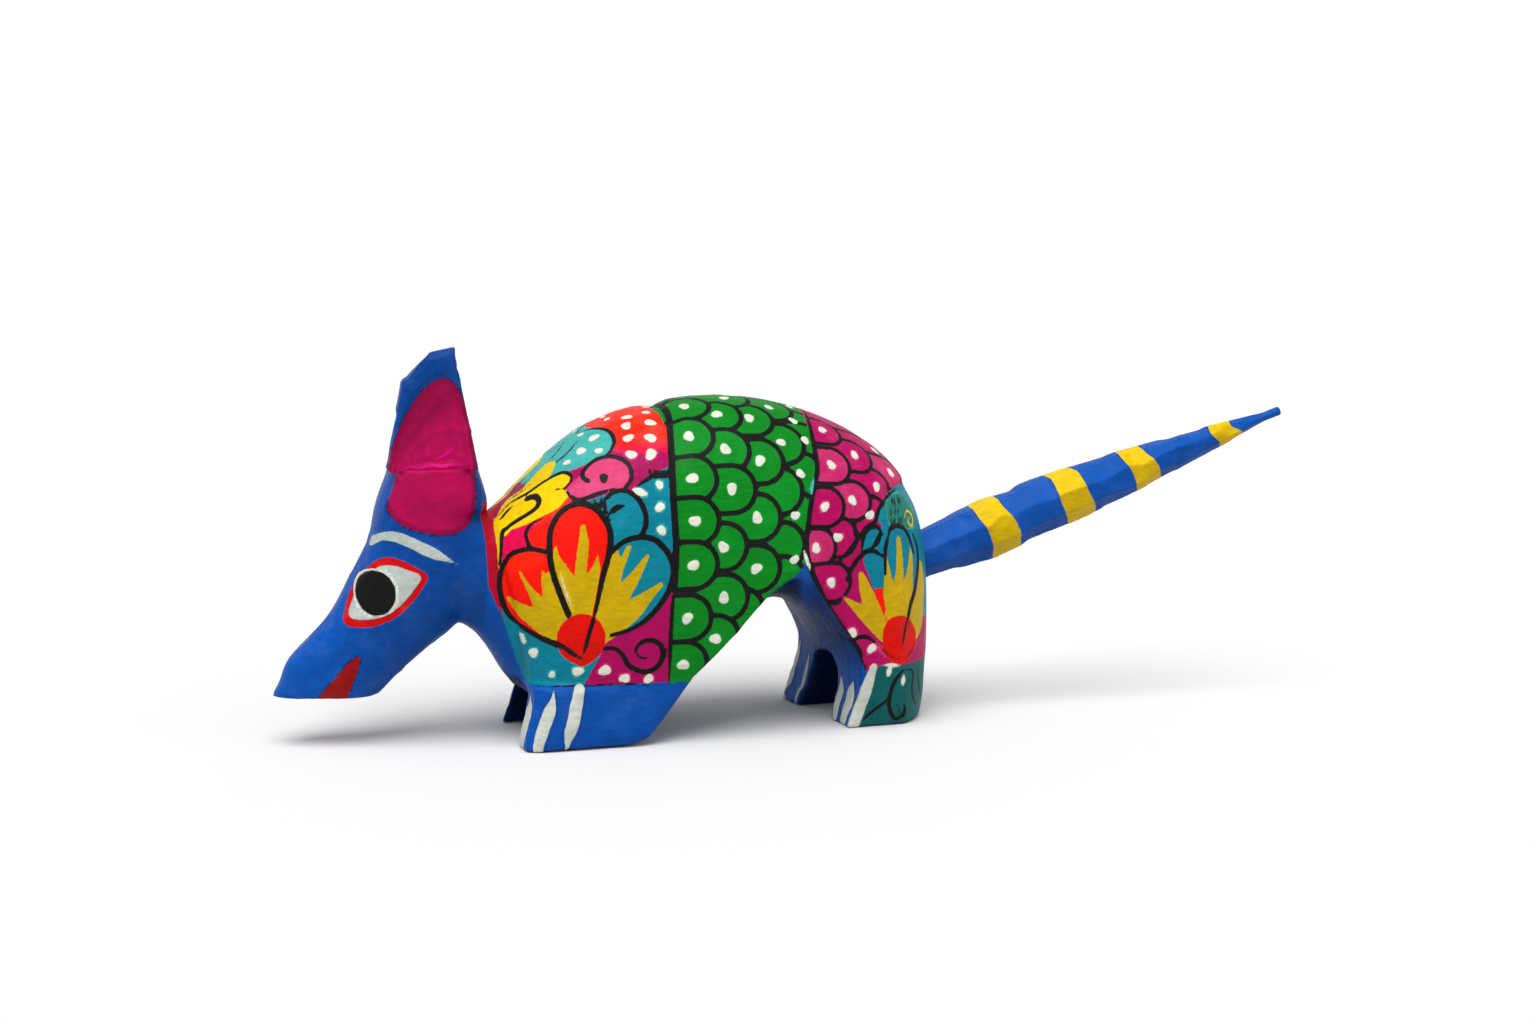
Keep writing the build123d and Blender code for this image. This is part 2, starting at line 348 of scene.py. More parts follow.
class Canvas:
    """A piece's surface and the paint on it. Its chart says where an address is."""

    def __init__(self, piece, points, used, chart=None):
        self.piece = piece
        self.points = points
        self.chart = chart
        self.layers = {name: np.full(len(points), FAR) for name in used}
        self.tone = np.zeros(len(points))
        self.only = np.ones(len(points), bool)

    def pick(self, line, reach):
        """Which points are near a line of addresses, where they are, and where the line is."""
        chart = self.chart
        near = np.all((chart.flat > line.min(0) - reach) & (chart.flat < line.max(0) + reach), 1)
        index = np.flatnonzero(near & self.only)
        if isinstance(chart, SideMap):
            return index, chart.flat[index], line
        places = self.points if not isinstance(chart, SurfaceMap) else chart.flat
        return index, places[index], np.array([chart.lift(address) for address in line])

    def lay(self, paint, index, field, tone=None):
        """Lays paint over what is there, wherever the field is negative."""
        above = False
        for name, layer in self.layers.items():
            if above:
                layer[index] = np.maximum(layer[index], -field)
            if name == paint:
                layer[index] = np.minimum(layer[index], field)
                above = True
        if tone is not None:
            covered = field < BLEED
            self.tone[index[covered]] = tone[covered] if isinstance(tone, np.ndarray) else tone

    def fill(self, paint, outline, tone):
        """Fills an outline. The tone may be a function of the flat addresses."""
        ring = np.vstack([outline, outline[:1]])
        index, places, line = self.pick(ring, 3.0)
        distance = to_line(places, line)[0]
        flat = self.chart.flat[index]
        field = np.where(inside(flat, outline), -distance, distance)
        self.lay(paint, index, field, tone(flat) if callable(tone) else tone)

    def area(self, paint, points, tone=0.0):
        """Paint inside a rounded outline."""
        self.fill(paint, curve(points, closed=True), tone)

    def block(self, paint, points, tone=0.0):
        """Paint inside an outline with straight sides."""
        self.fill(paint, np.array(points, float), tone)

    def stroke(self, paint, points, width, tone=None, ends=(0.45, 0.45)):
        """A brush stroke, thinner towards its ends by the given shares."""
        path = curve(points) if len(points) > 2 else np.array(points, float)
        index, places, line = self.pick(path, width + 2.5)
        distance, along = to_line(places, line)
        first = ends[0] + (1 - ends[0]) * smoothstep(along / 0.35)
        last = ends[1] + (1 - ends[1]) * smoothstep((1 - along) / 0.35)
        self.lay(paint, index, distance - width / 2 * first * last, tone)

    def ink(self, points, width, ends=(0.45, 0.45)):
        """A black line."""
        self.stroke("black", points, width, ends=ends)

    def spot(self, paint, address, radius, tone=None):
        """A round dab of paint."""
        index, places, line = self.pick(np.array([address], float), 2 * radius + 3)
        across, up = (self.chart.flat[index] - address).T
        turn, start = np.arctan2(up, across), address[0] + 2 * address[1]
        ragged = 1 + 0.13 * np.sin(2 * turn + start) + 0.08 * np.sin(3 * turn + 2.3 * start)
        self.lay(paint, index, np.linalg.norm(places - line[0], axis=1) - radius * ragged, tone)

    def scale(self, address, radius, edge, tone):
        """One scale with its outline, over the scales behind it. It is round towards the rear."""
        u, v = address
        tongue = np.array([(u - 2.2 * radius, v), (u - 1.1 * radius, v), (u, v)])
        index, places, line = self.pick(tongue, 2 * radius)
        gap = to_line(places, line)[0] - radius
        black = self.layers["black"]
        black[index] = np.minimum(np.maximum(black[index], -gap), np.abs(gap) - edge / 2)
        self.tone[index[gap < 0]] = tone

    def finish(self, relief):
        """Raises the thick paint and writes the layers to the mesh."""
        points, normals = read_points(self.piece), read_normals(self.piece)
        for paint, height in relief.items():
            raised = smoothstep(0.5 - self.layers[paint] / 0.7)
            points += normals * (raised * height)[:, None]
        write_points(self.piece, points)
        for name, values in [*self.layers.items(), ("tone", self.tone)]:
            attribute = self.piece.data.attributes.new(name, "FLOAT", "POINT")
            attribute.data.foreach_set("value", values.astype(np.float32))


def ellipse(centre, radii, count=20):
    turns = np.linspace(0, 2 * math.pi, count, endpoint=False)
    return [(centre[0] + radii[0] * math.cos(t), centre[1] + radii[1] * math.sin(t)) for t in turns]


# ---- Materials ---------------------------------------------------------------------------


class Nodes:
    """Short ways to add shader nodes to one material."""

    def __init__(self, name):
        self.material = bpy.data.materials.new(name)
        self.material.use_nodes = True
        self.tree = self.material.node_tree
        self.shader = self.tree.nodes["Principled BSDF"]

    def put(self, socket, value):
        if isinstance(value, bpy.types.NodeSocket):
            self.tree.links.new(value, socket)
        else:
            socket.default_value = value

    def math(self, operation, a, b=0.0, clamp=False):
        node = self.tree.nodes.new("ShaderNodeMath")
        node.operation = operation
        node.use_clamp = clamp
        self.put(node.inputs[0], a)
        self.put(node.inputs[1], b)
        return node.outputs[0]

    def mix(self, share, a, b):
        node = self.tree.nodes.new("ShaderNodeMix")
        node.data_type = "RGBA"
        self.put(node.inputs[0], share)
        self.put(node.inputs[6], a)
        self.put(node.inputs[7], b)
        return node.outputs[2]

    def attribute(self, name):
        node = self.tree.nodes.new("ShaderNodeAttribute")
        node.attribute_name = name
        return node.outputs["Fac"]

    def noise(self, size, detail=2.0, stretch=(1, 1, 1)):
        """Noise whose lumps are about size millimetres across."""
        place = self.tree.nodes.new("ShaderNodeTexCoord")
        mapping = self.tree.nodes.new("ShaderNodeMapping")
        mapping.inputs["Scale"].default_value = stretch
        self.put(mapping.inputs["Vector"], place.outputs["Object"])
        node = self.tree.nodes.new("ShaderNodeTexNoise")
        node.inputs["Scale"].default_value = 1 / (size * MM)
        node.inputs["Detail"].default_value = detail
        self.put(node.inputs["Vector"], mapping.outputs[0])
        return node.outputs["Fac"]

    def remap(self, value, low, high, new_low, new_high):
        node = self.tree.nodes.new("ShaderNodeMapRange")
        self.put(node.inputs["Value"], value)
        ends = {"From Min": low, "From Max": high, "To Min": new_low, "To Max": new_high}
        for name, number in ends.items():
            node.inputs[name].default_value = number
        return node.outputs[0]

    def bump(self, height, millimetres, normal=None):
        node = self.tree.nodes.new("ShaderNodeBump")
        node.inputs["Strength"].default_value = 1.0
        node.inputs["Distance"].default_value = millimetres * MM
        self.put(node.inputs["Height"], height)
        if normal is not None:
            self.put(node.inputs["Normal"], normal)
        return node.outputs[0]


def paint_material(name, used, stretch):
    """Layered brush-laid acrylic paint. stretch sets the way that the brush went."""
    nodes = Nodes(name)
    # How far a paint's edge wanders in millimetres, and how quickly it turns opaque
    wander, sharpness = 0.34, 6.0
    wobble = nodes.math("SUBTRACT", nodes.noise(1.3, 3.0), 0.5)
    wobble = nodes.math("MULTIPLY", wobble, wander)
    tone = nodes.attribute("tone")
    colour = nodes.mix(tone, linear(BLUE[0]), linear(BLUE[1]))
    masks = {}
    for paint in used:
        distance = nodes.math("ADD", nodes.attribute(paint), wobble)
        mask = nodes.math("SUBTRACT", 0.5, nodes.math("MULTIPLY", distance, sharpness), clamp=True)
        shade = nodes.mix(tone, linear(PAINTS[paint][0]), linear(PAINTS[paint][1]))
        colour = nodes.mix(mask, colour, shade)
        masks[paint] = mask
    # Brush streaks and patches where the paint lies thicker or thinner
    streaks = nodes.noise(0.9, 3.0, stretch)
    patches = nodes.noise(7.0, 4.0)
    grain = nodes.noise(0.35, 2.0)
    light = nodes.math("ADD", nodes.remap(streaks, 0.3, 0.7, -0.09, 0.09), 0.93)
    light = nodes.math("ADD", light, nodes.remap(patches, 0.3, 0.7, -0.08, 0.08))
    light = nodes.math("ADD", light, nodes.remap(grain, 0.35, 0.65, -0.05, 0.05))
    varied = nodes.tree.nodes.new("ShaderNodeHueSaturation")
    nodes.put(varied.inputs["Value"], light)
    nodes.put(varied.inputs["Saturation"], nodes.remap(patches, 0.3, 0.7, 1.07, 1.0))
    nodes.put(varied.inputs["Color"], colour)
    nodes.put(nodes.shader.inputs["Base Color"], varied.outputs[0])
    # Satin gloss, duller where the paint is thin
    gloss = nodes.remap(patches, 0.3, 0.7, 0.40, 0.54)
    gloss = nodes.math("ADD", gloss, nodes.remap(streaks, 0.3, 0.7, -0.05, 0.05))
    nodes.put(nodes.shader.inputs["Roughness"], gloss)
    nodes.shader.inputs["Specular IOR Level"].default_value = 0.09
    # Brush marks, small pits in the primed wood, and the thickness of the paint itself
    height = nodes.bump(streaks, 0.14)
    height = nodes.bump(nodes.noise(2.2, 3.0), 0.25, height)
    height = nodes.bump(grain, 0.055, height)
    for paint, thickness in (("black", 0.05), ("white", 0.12)):
        if paint in masks:
            height = nodes.bump(masks[paint], thickness, height)
    nodes.put(nodes.shader.inputs["Normal"], height)
    return nodes.material


# ---- The shell's pattern -----------------------------------------------------------------


def paint_rim(canvas):
    """Crimson on the shell's rim and a little way onto the neck."""
    canvas.block("crimson", [
        (-80.2, 57.4), (-79.9, 48), (-79.6, 38), (-78, 34), (-75, 27), (-72, 27), (-73, 45), (-73, 57),
    ])


def paint_front(canvas):
    """The flower, lobes and dots between the shell's rim and its first dark line."""
    area, block, stroke, ink = canvas.area, canvas.block, canvas.stroke, canvas.ink
    # Ground colours
    block("magenta", [
        (-76.6, 62), (-76.8, 46), (-76.8, 38), (-75.4, 30), (-70.9, 15.2), (-38, 15), (-37, 62), (-33, 98),
        (-60, 98),
    ])
    block("teal", [
        (-77, 33), (-74.4, 24.4), (-71.1, 15.2), (-59.4, 15.2), (-55.6, 22.4), (-60, 30), (-70, 30),
    ], 0.04)

    def sunset(flat):
        return smoothstep((flat[:, 1] - 66) / 14) * 0.35 + 0.6

    def dusk(flat):
        return smoothstep((flat[:, 1] - 67.5) / 6) * 0.85

    area("pink", [
        (-51, 72.6), (-48.6, 69.8), (-45.6, 69.6), (-43.4, 68.2), (-40.6, 69.4), (-38.4, 68), (-35.6, 70),
        (-35.6, 76), (-50, 76),
    ], dusk)
    block("scarlet", [
        (-60, 97), (-51.6, 82.4), (-49.4, 78), (-49.3, 74.8), (-47.6, 73.4), (-45.4, 74.2), (-43.4, 72.6),
        (-40.8, 73.6), (-38.4, 72.4), (-34, 73), (-33, 98),
    ], sunset)
    # Pale teal leaf over the shoulder
    block("teal", [
        (-72, 96), (-67.9, 69.2), (-62.4, 69.1), (-59.6, 68.6), (-55.6, 69), (-52.9, 69.2), (-50.7, 71),
        (-49.3, 74.1), (-49.7, 78.5), (-51.9, 82.6), (-56, 96),
    ], 0.85)
    ink([(-52.9, 69.2), (-50.7, 71), (-49.3, 74.1), (-49.7, 78.5), (-51.9, 82.4), (-55, 85)], 1.1)
    ink([(-55.9, 79.8), (-58.9, 76), (-62.7, 73.4), (-66.4, 69.7)], 0.72)
    ink([(-57.5, 84), (-60.9, 79), (-65.2, 74.6)], 0.59)
    # Teal strip down the dark line
    block("teal", [
        (-47.4, 60.2), (-42.9, 62.6), (-37.8, 65), (-37.6, 58), (-38, 37), (-42, 40), (-47.5, 48),
        (-46, 55),
    ], 0.02)
    for shift in (0, 1.3, 2.5):
        ink([(-43.6 + shift, 64.6 - shift / 3), (-42.2 + shift, 62.2), (-41.0 + shift, 63.6)], 0.91)
    ink([(-46.6, 60.6), (-43.4, 62.2), (-40.4, 63.2), (-38.2, 63.4)], 1.04)
    # Coral and pink behind the petals
    block("pink", [
        (-59, 61), (-62, 61), (-65, 58.8), (-70, 56.6), (-74, 54.6), (-76.2, 50), (-76.5, 44), (-70, 45),
        (-60, 52),
    ], 0.9)
    block("pink", [(-76.4, 44), (-75.6, 53.2), (-73.2, 54.8), (-69.4, 55.9), (-71.2, 50), (-70.8, 46.4)])
    # Yellow lobes beside the neck
    area("yellow", [
        (-75.4, 63), (-72.3, 69.2), (-69.1, 70.1), (-66.1, 69.2), (-63.2, 69.4), (-60.6, 68.1),
        (-60.1, 66.3), (-61.8, 64.2), (-61, 62), (-62.3, 60.6), (-64.2, 58.7), (-67.4, 57.7), (-70.4, 56.3),
        (-74.2, 54.9), (-76, 51), (-77.1, 55.7),
    ], 0.95)
    area("yellow", [
        (-69.6, 69.6), (-66.6, 73.6), (-63.6, 76.4), (-61.8, 74.8), (-63.4, 70.8), (-65.4, 69.2),
    ], 0.8)
    stroke("yellow", [(-76.6, 60), (-76.9, 52), (-77.1, 41)], 1.1, 0.5)
    ink([
        (-75.9, 61.5), (-72.4, 66.4), (-69, 67.4), (-65.6, 68.9), (-62, 69.2), (-60.3, 67.6), (-60.2, 65.8),
        (-61.8, 64.2), (-63.8, 64.6),
    ], 1.04)
    ink([
        (-69.3, 65.3), (-67.9, 64.9), (-67.4, 62.6), (-68.8, 60.4), (-72.6, 58.2), (-75.2, 55.2),
        (-76.2, 50.1), (-77, 43),
    ], 1.23, ends=(1.5, 0.7))
    ink([(-76.1, 58.4), (-74.4, 61.9), (-72.2, 64.9)], 0.91)
    ink([(-71.6, 71.6), (-68.9, 72.6), (-66.4, 74.4)], 0.65)
    ink([(-72.6, 68.6), (-69.6, 69.4), (-67.2, 70.6)], 0.59)
    # Magenta lobe with a curl
    area("magenta", [
        (-57.9, 66.2), (-56.1, 68.6), (-52, 69.4), (-49.1, 67.9), (-47.2, 65), (-47.6, 62.2), (-49.2, 60.4),
        (-54.5, 59.6), (-60.2, 60), (-61.8, 62.4), (-60.2, 64.8),
    ], 0.75)
    ink([
        (-57, 63.9), (-57.9, 65.4), (-57.2, 67.4), (-54.8, 69.1), (-51.6, 69.3), (-49, 67.9), (-47.4, 65.2),
        (-47.7, 62.4), (-49.4, 60.3),
    ], 1.17, ends=(1, 0.8))
    ink([(-62, 64), (-61.2, 61.2), (-59.6, 59.6), (-57, 59.9), (-54, 60.4), (-51.2, 60.9)], 1.1)
    canvas.spot("black", (-53.6, 63.8), 1.15)
    # Round teal lobe with a comma
    area("teal", [
        (-59.8, 58.4), (-56.4, 59.2), (-52.7, 59.8), (-49.6, 60), (-46.8, 58), (-45.2, 54.4), (-45.5, 51.4),
        (-47.7, 48.7), (-53.1, 46.6), (-56, 50), (-56.4, 55),
    ], 0.08)
    ink([
        (-53.4, 59), (-52.1, 59.9), (-49.6, 60), (-46.9, 58.2), (-45.2, 54.6), (-45.5, 51.3), (-47.6, 48.7),
        (-49.5, 47.9),
    ], 1.3, ends=(0.8, 0.9))
    ink([(-53.6, 54.9), (-51.7, 56.3), (-50, 56.5)], 1.43, ends=(0.2, 0.5))
    ink([(-56.6, 59), (-55.4, 56.8), (-54.6, 59.2)], 0.91)
    ink([(-53.9, 59.4), (-54.3, 56.6), (-53.3, 53.8)], 0.91)
    # Small red petal
    area("scarlet", [
        (-68.2, 54.8), (-70.4, 53.4), (-71.1, 50.6), (-70.3, 48), (-67.6, 46.8), (-65.6, 49), (-65.4, 53.6),
    ], 0.25)
    ink([(-67.2, 56.9), (-69.9, 55.9), (-71.3, 53.2), (-71.3, 50.2), (-70.4, 47.6), (-67.2, 46.5)], 0.98)
    # The three petals: left, right, then the middle one over both
    area("scarlet", [
        (-67.1, 46.4), (-71.2, 47.5), (-75, 45.4), (-76.6, 41.7), (-77, 37.5), (-75.6, 32.6), (-73.1, 29.2),
        (-69, 26.6), (-62.7, 23.3), (-62, 32), (-65, 40),
    ], 0.12)
    area("scarlet", [(-67.4, 45.6), (-71.2, 46.7), (-74.4, 44.9), (-75.8, 41.7), (-72, 42.4)], 0.7)
    block("yellow", [
        (-62.5, 24.4), (-65.2, 25.3), (-69.3, 27.3), (-73.6, 31.4), (-75.9, 35.4), (-75.1, 35.6),
        (-73.5, 34.6), (-70.6, 33.6), (-71.9, 37.2), (-73.9, 42.3), (-73.2, 41.9), (-71.4, 38.8),
        (-68.6, 35.7), (-69.1, 39.6), (-68.9, 42.9), (-68.2, 41.6), (-67, 42.4), (-65.6, 38.6),
        (-62.6, 31.4),
    ], 0.1)
    area("teal", [
        (-53.6, 46.4), (-50.7, 48.4), (-46.9, 49.3), (-43.1, 48.5), (-40.2, 45.7), (-39.2, 42.3),
        (-39.4, 38.4), (-41.6, 34.2), (-45, 30.5), (-48.8, 28.2), (-53, 26.9), (-56, 26), (-57, 33),
    ], 0.06)
    block("yellow", [
        (-58.6, 24.2), (-55.3, 24.6), (-49.8, 28.4), (-46.6, 31.2), (-44, 35), (-41.2, 38.4), (-41.6, 39.2),
        (-45, 37.4), (-49.5, 35), (-47.4, 38.9), (-44.4, 45.6), (-45.2, 45.8), (-47.6, 43), (-51.5, 38.8),
        (-50.6, 42.6), (-48.6, 47.9), (-49.8, 47.9), (-51.3, 44.8), (-51.9, 47.1), (-53.4, 46.4),
        (-55.2, 39.6), (-58.4, 32),
    ], 0.1)
    area("scarlet", [
        (-62.6, 27.6), (-64.7, 35.5), (-66.5, 41.7), (-66.9, 46.4), (-66.2, 52.9), (-63.6, 57.4),
        (-60.1, 58.3), (-56.7, 56.6), (-54.6, 53.6), (-53.7, 50.3), (-54.3, 45.8), (-55.5, 41.1),
        (-56.9, 34.3), (-57.8, 28),
    ], 0.15)
    block("yellow", [
        (-63.5, 27), (-64.4, 33.6), (-66.3, 41.2), (-66.6, 44.6), (-65.6, 49.8), (-65.1, 45.9), (-61.9, 41),
        (-60.9, 48), (-59.9, 53.4), (-59, 53.2), (-58.4, 49), (-59.2, 41.2), (-57.6, 43.6), (-56.5, 46.2),
        (-56, 42.6), (-57.4, 34), (-58.4, 27),
    ], 0.1)
    stroke("scarlet", [(-55.6, 40.8), (-56.9, 34.6), (-57.9, 30.4)], 0.9)
    # Petal outlines
    ink([
        (-59.6, 21.6), (-62.7, 23.3), (-69, 26.4), (-73.4, 29.4), (-75.9, 32.8), (-77.1, 37.5),
        (-76.7, 41.7), (-75.1, 45.4), (-71.2, 47.6), (-67.1, 46.5),
    ], 1.37, ends=(0.8, 0.8))
    ink([
        (-62.6, 30.8), (-64.5, 35.5), (-66.5, 41.7), (-67, 46.4), (-66.3, 52.9), (-63.8, 57.4),
        (-60.1, 58.7), (-56.7, 57), (-54.4, 53.6), (-53.5, 50.3), (-54.1, 45.8), (-55.4, 41.1),
        (-56.8, 34.3), (-57.6, 30.5), (-59.2, 25.6), (-60.2, 22.6),
    ], 1.49, ends=(1, 0.35))
    stroke("white", [(-64.9, 41.6), (-63.9, 37.9), (-62.2, 33)], 0.6, 0.6)
    ink([
        (-53.9, 46.2), (-50.7, 48.6), (-46.9, 49.5), (-43.1, 48.7), (-40.2, 45.8), (-38.9, 42.3),
        (-39.4, 38.4), (-41.6, 34.2), (-45, 30.5), (-48.8, 28.2), (-53.4, 26.9),
    ], 1.43, ends=(0.9, 0.7))
    # The flower's red heart
    area("ball", ellipse((-60.2, 26.2), (5.5, 6)), 0.1)
    area("ball", [(-64.6, 23.4), (-60, 19.6), (-55.6, 23), (-57, 25), (-63, 25)], 0.6)
    ink([(-57.6, 30.6), (-58.6, 27), (-59.9, 21.8)], 1.04, ends=(1, 0.3))
    ink([(-68.2, 26.6), (-64.6, 24.6), (-61.6, 22.4), (-59.6, 21.2)], 1.17)
    # Curl on the magenta corner
    ink([
        (-54.9, 23.8), (-52.5, 23.7), (-50.5, 21.9), (-49, 19.4), (-45.6, 17.8), (-42.7, 18.5),
        (-41.1, 21.2), (-41.7, 24), (-43.9, 25.3), (-46.3, 24.9), (-47.6, 23.1), (-46.6, 21.4),
        (-44.9, 20.9),
    ], 1.3, ends=(0.8, 0.5))
    # White dots
    for u, v, radius in [
        (-72.5, 25.8, 1.25), (-70.4, 22.7, 1.25), (-66.5, 17.6, 0.85), (-60.9, 18.4, 1.25),
        (-54.7, 18.5, 1.35), (-50, 16.4, 1.2), (-44.3, 15.9, 1.2), (-44.4, 83.2, 1.3), (-45.6, 78.7, 1.3),
        (-46.2, 73.7, 1.25), (-46.6, 68.6, 1.25), (-40.1, 78, 1.3), (-41.3, 72.5, 1.35), (-42.1, 67.9, 1.4),
        (-38.5, 88.9, 0.9), (-39.7, 83.6, 1), (-48.2, 86.1, 0.9), (-53.1, 77.5, 1.3), (-56.6, 74, 1.3),
        (-53.2, 71.8, 1), (-60, 72, 1), (-54.9, 82.2, 0.9), (-41.3, 60.4, 1), (-41.7, 55.6, 1.15),
        (-41.6, 50.7, 1.15),
    ]:
        canvas.spot("white", (u, v), radius, 0.8)
    stroke("white", [(-47.3, 59.9), (-45.9, 59.2), (-44.6, 58.6)], 1.8, 0.8, ends=(0.5, 0.5))


def lay_scales(canvas, dots, shift, radius, edge):
    """Scales in two shades, each a little behind its dot."""
    for u, v in dots:
        canvas.scale((u + shift, v), radius, edge, tone=0.35 if (u + v) % 2 > 1 else 0.1)


def paint_scales(canvas):
    """The green band and the magenta rump, both covered in round scales."""
    green = [
        (-38.5, 98), (-36.2, 73.9), (-37.6, 65.5), (-38.3, 58.2), (-38.2, 45.6), (-38.8, 36), (-39.3, 14.6),
        (-33.6, 14.6), (-20, 27), (-8, 39.5), (-6.4, 42), (-5.4, 51), (-4.4, 56.4), (-1.9, 62), (-1.2, 68),
        (-1.4, 76), (1.2, 98),
    ]
    canvas.block("green", green, 0.2)
    rear = [
        (0.2, 98), (-1.8, 76), (-1.5, 68), (-2.1, 62), (-4.4, 56), (-5.8, 49), (-6.2, 42), (-3.4, 36),
        (2, 28), (5.9, 22), (9.8, 14.4), (40, 14.4), (50, 98),
    ]
    canvas.block("magenta", rear, 0.08)
    # Rear scales first, so that those in front lie over them
    green_dots = [
        (-3.4, 86), (-5.2, 76.5), (-3.8, 70), (-6.7, 61.4), (-8.9, 52.3), (-9.3, 42.6), (-12.5, 46),
        (-12.5, 57.7), (-10, 82.3), (-10.2, 69), (-12.5, 38), (-16.5, 76.7), (-16.4, 64.5), (-18.4, 52.2),
        (-18.7, 41), (-22.6, 31), (-19.8, 88), (-24.1, 78.3), (-24.4, 67.5), (-24.1, 58.5), (-26.8, 46.5),
        (-26.6, 34.5), (-28.5, 24.8), (-30.7, 83.6), (-32.4, 71.8), (-33.3, 61.3), (-33.5, 52.2),
        (-34, 42.6), (-35.4, 30.1), (-36.1, 18.9),
    ]
    magenta_dots = [
        (16.3, 71.8), (19.2, 64.6), (13.2, 59), (10.4, 51.8), (8.9, 67.2), (6, 55.3), (2, 74.4),
        (1.7, 63.7), (1.7, 47.1), (-1.3, 54), (-3.9, 45), (0, 36.6),
    ]
    allowed = canvas.only
    canvas.only = allowed & (canvas.layers["green"] < BLEED)
    lay_scales(canvas, green_dots, shift=0.2, radius=5.6, edge=1.25)
    canvas.only = allowed & (canvas.layers["magenta"] < BLEED) & (canvas.points[:, 0] > -9)
    lay_scales(canvas, magenta_dots, shift=0.3, radius=4.7, edge=1.05)
    canvas.only = allowed
    without_dot = [(-12.5, 57.7), (-12.5, 46), (-22.6, 31), (-12.5, 38)]
    for u, v in green_dots:
        if (u, v) not in without_dot:
            canvas.spot("white", (u, v), 1.35 if u < -12 else 1.1, 0.8)
    for address in magenta_dots + [(5.8, 24), (11, 19.7)]:
        canvas.spot("white", address, 1.15, 0.8)
    # Dark lines down the bands' edges
    band = [
        (-34.7, 92), (-34.9, 82.1), (-36.2, 73.9), (-37.6, 65.5), (-38.3, 58.2), (-38.3, 52.1),
        (-38.2, 45.6), (-38.5, 38.4),
    ]
    canvas.ink(band, 1.7, ends=(1, 0.9))
    canvas.ink([(-38.4, 39.6), (-39, 33), (-39.3, 26.3), (-39.4, 14.8)], 1.04)
    rear_line = [
        (1.2, 92), (0.1, 84), (-1, 76), (-1.8, 69), (-2.2, 62.5), (-4.3, 56.4), (-5.6, 50.8), (-6.3, 46.1),
        (-5.4, 41), (-2.8, 35.4), (2, 28), (5.9, 22.2), (9.8, 14.6),
    ]
    canvas.ink(rear_line, 1.35)
    canvas.stroke("teal", [(-3.5, 60.4), (-4.2, 58.4), (-4.6, 56.4)], 0.9, 0.9)
    canvas.stroke("white", [(-6.9, 44.6), (-6.2, 42.2), (-5.2, 39.6)], 0.9, 0.8)
    # The front band's lower edge
    canvas.ink([(-71.4, 15.1), (-60, 15.1), (-50, 15), (-39.6, 14.9)], 0.6)


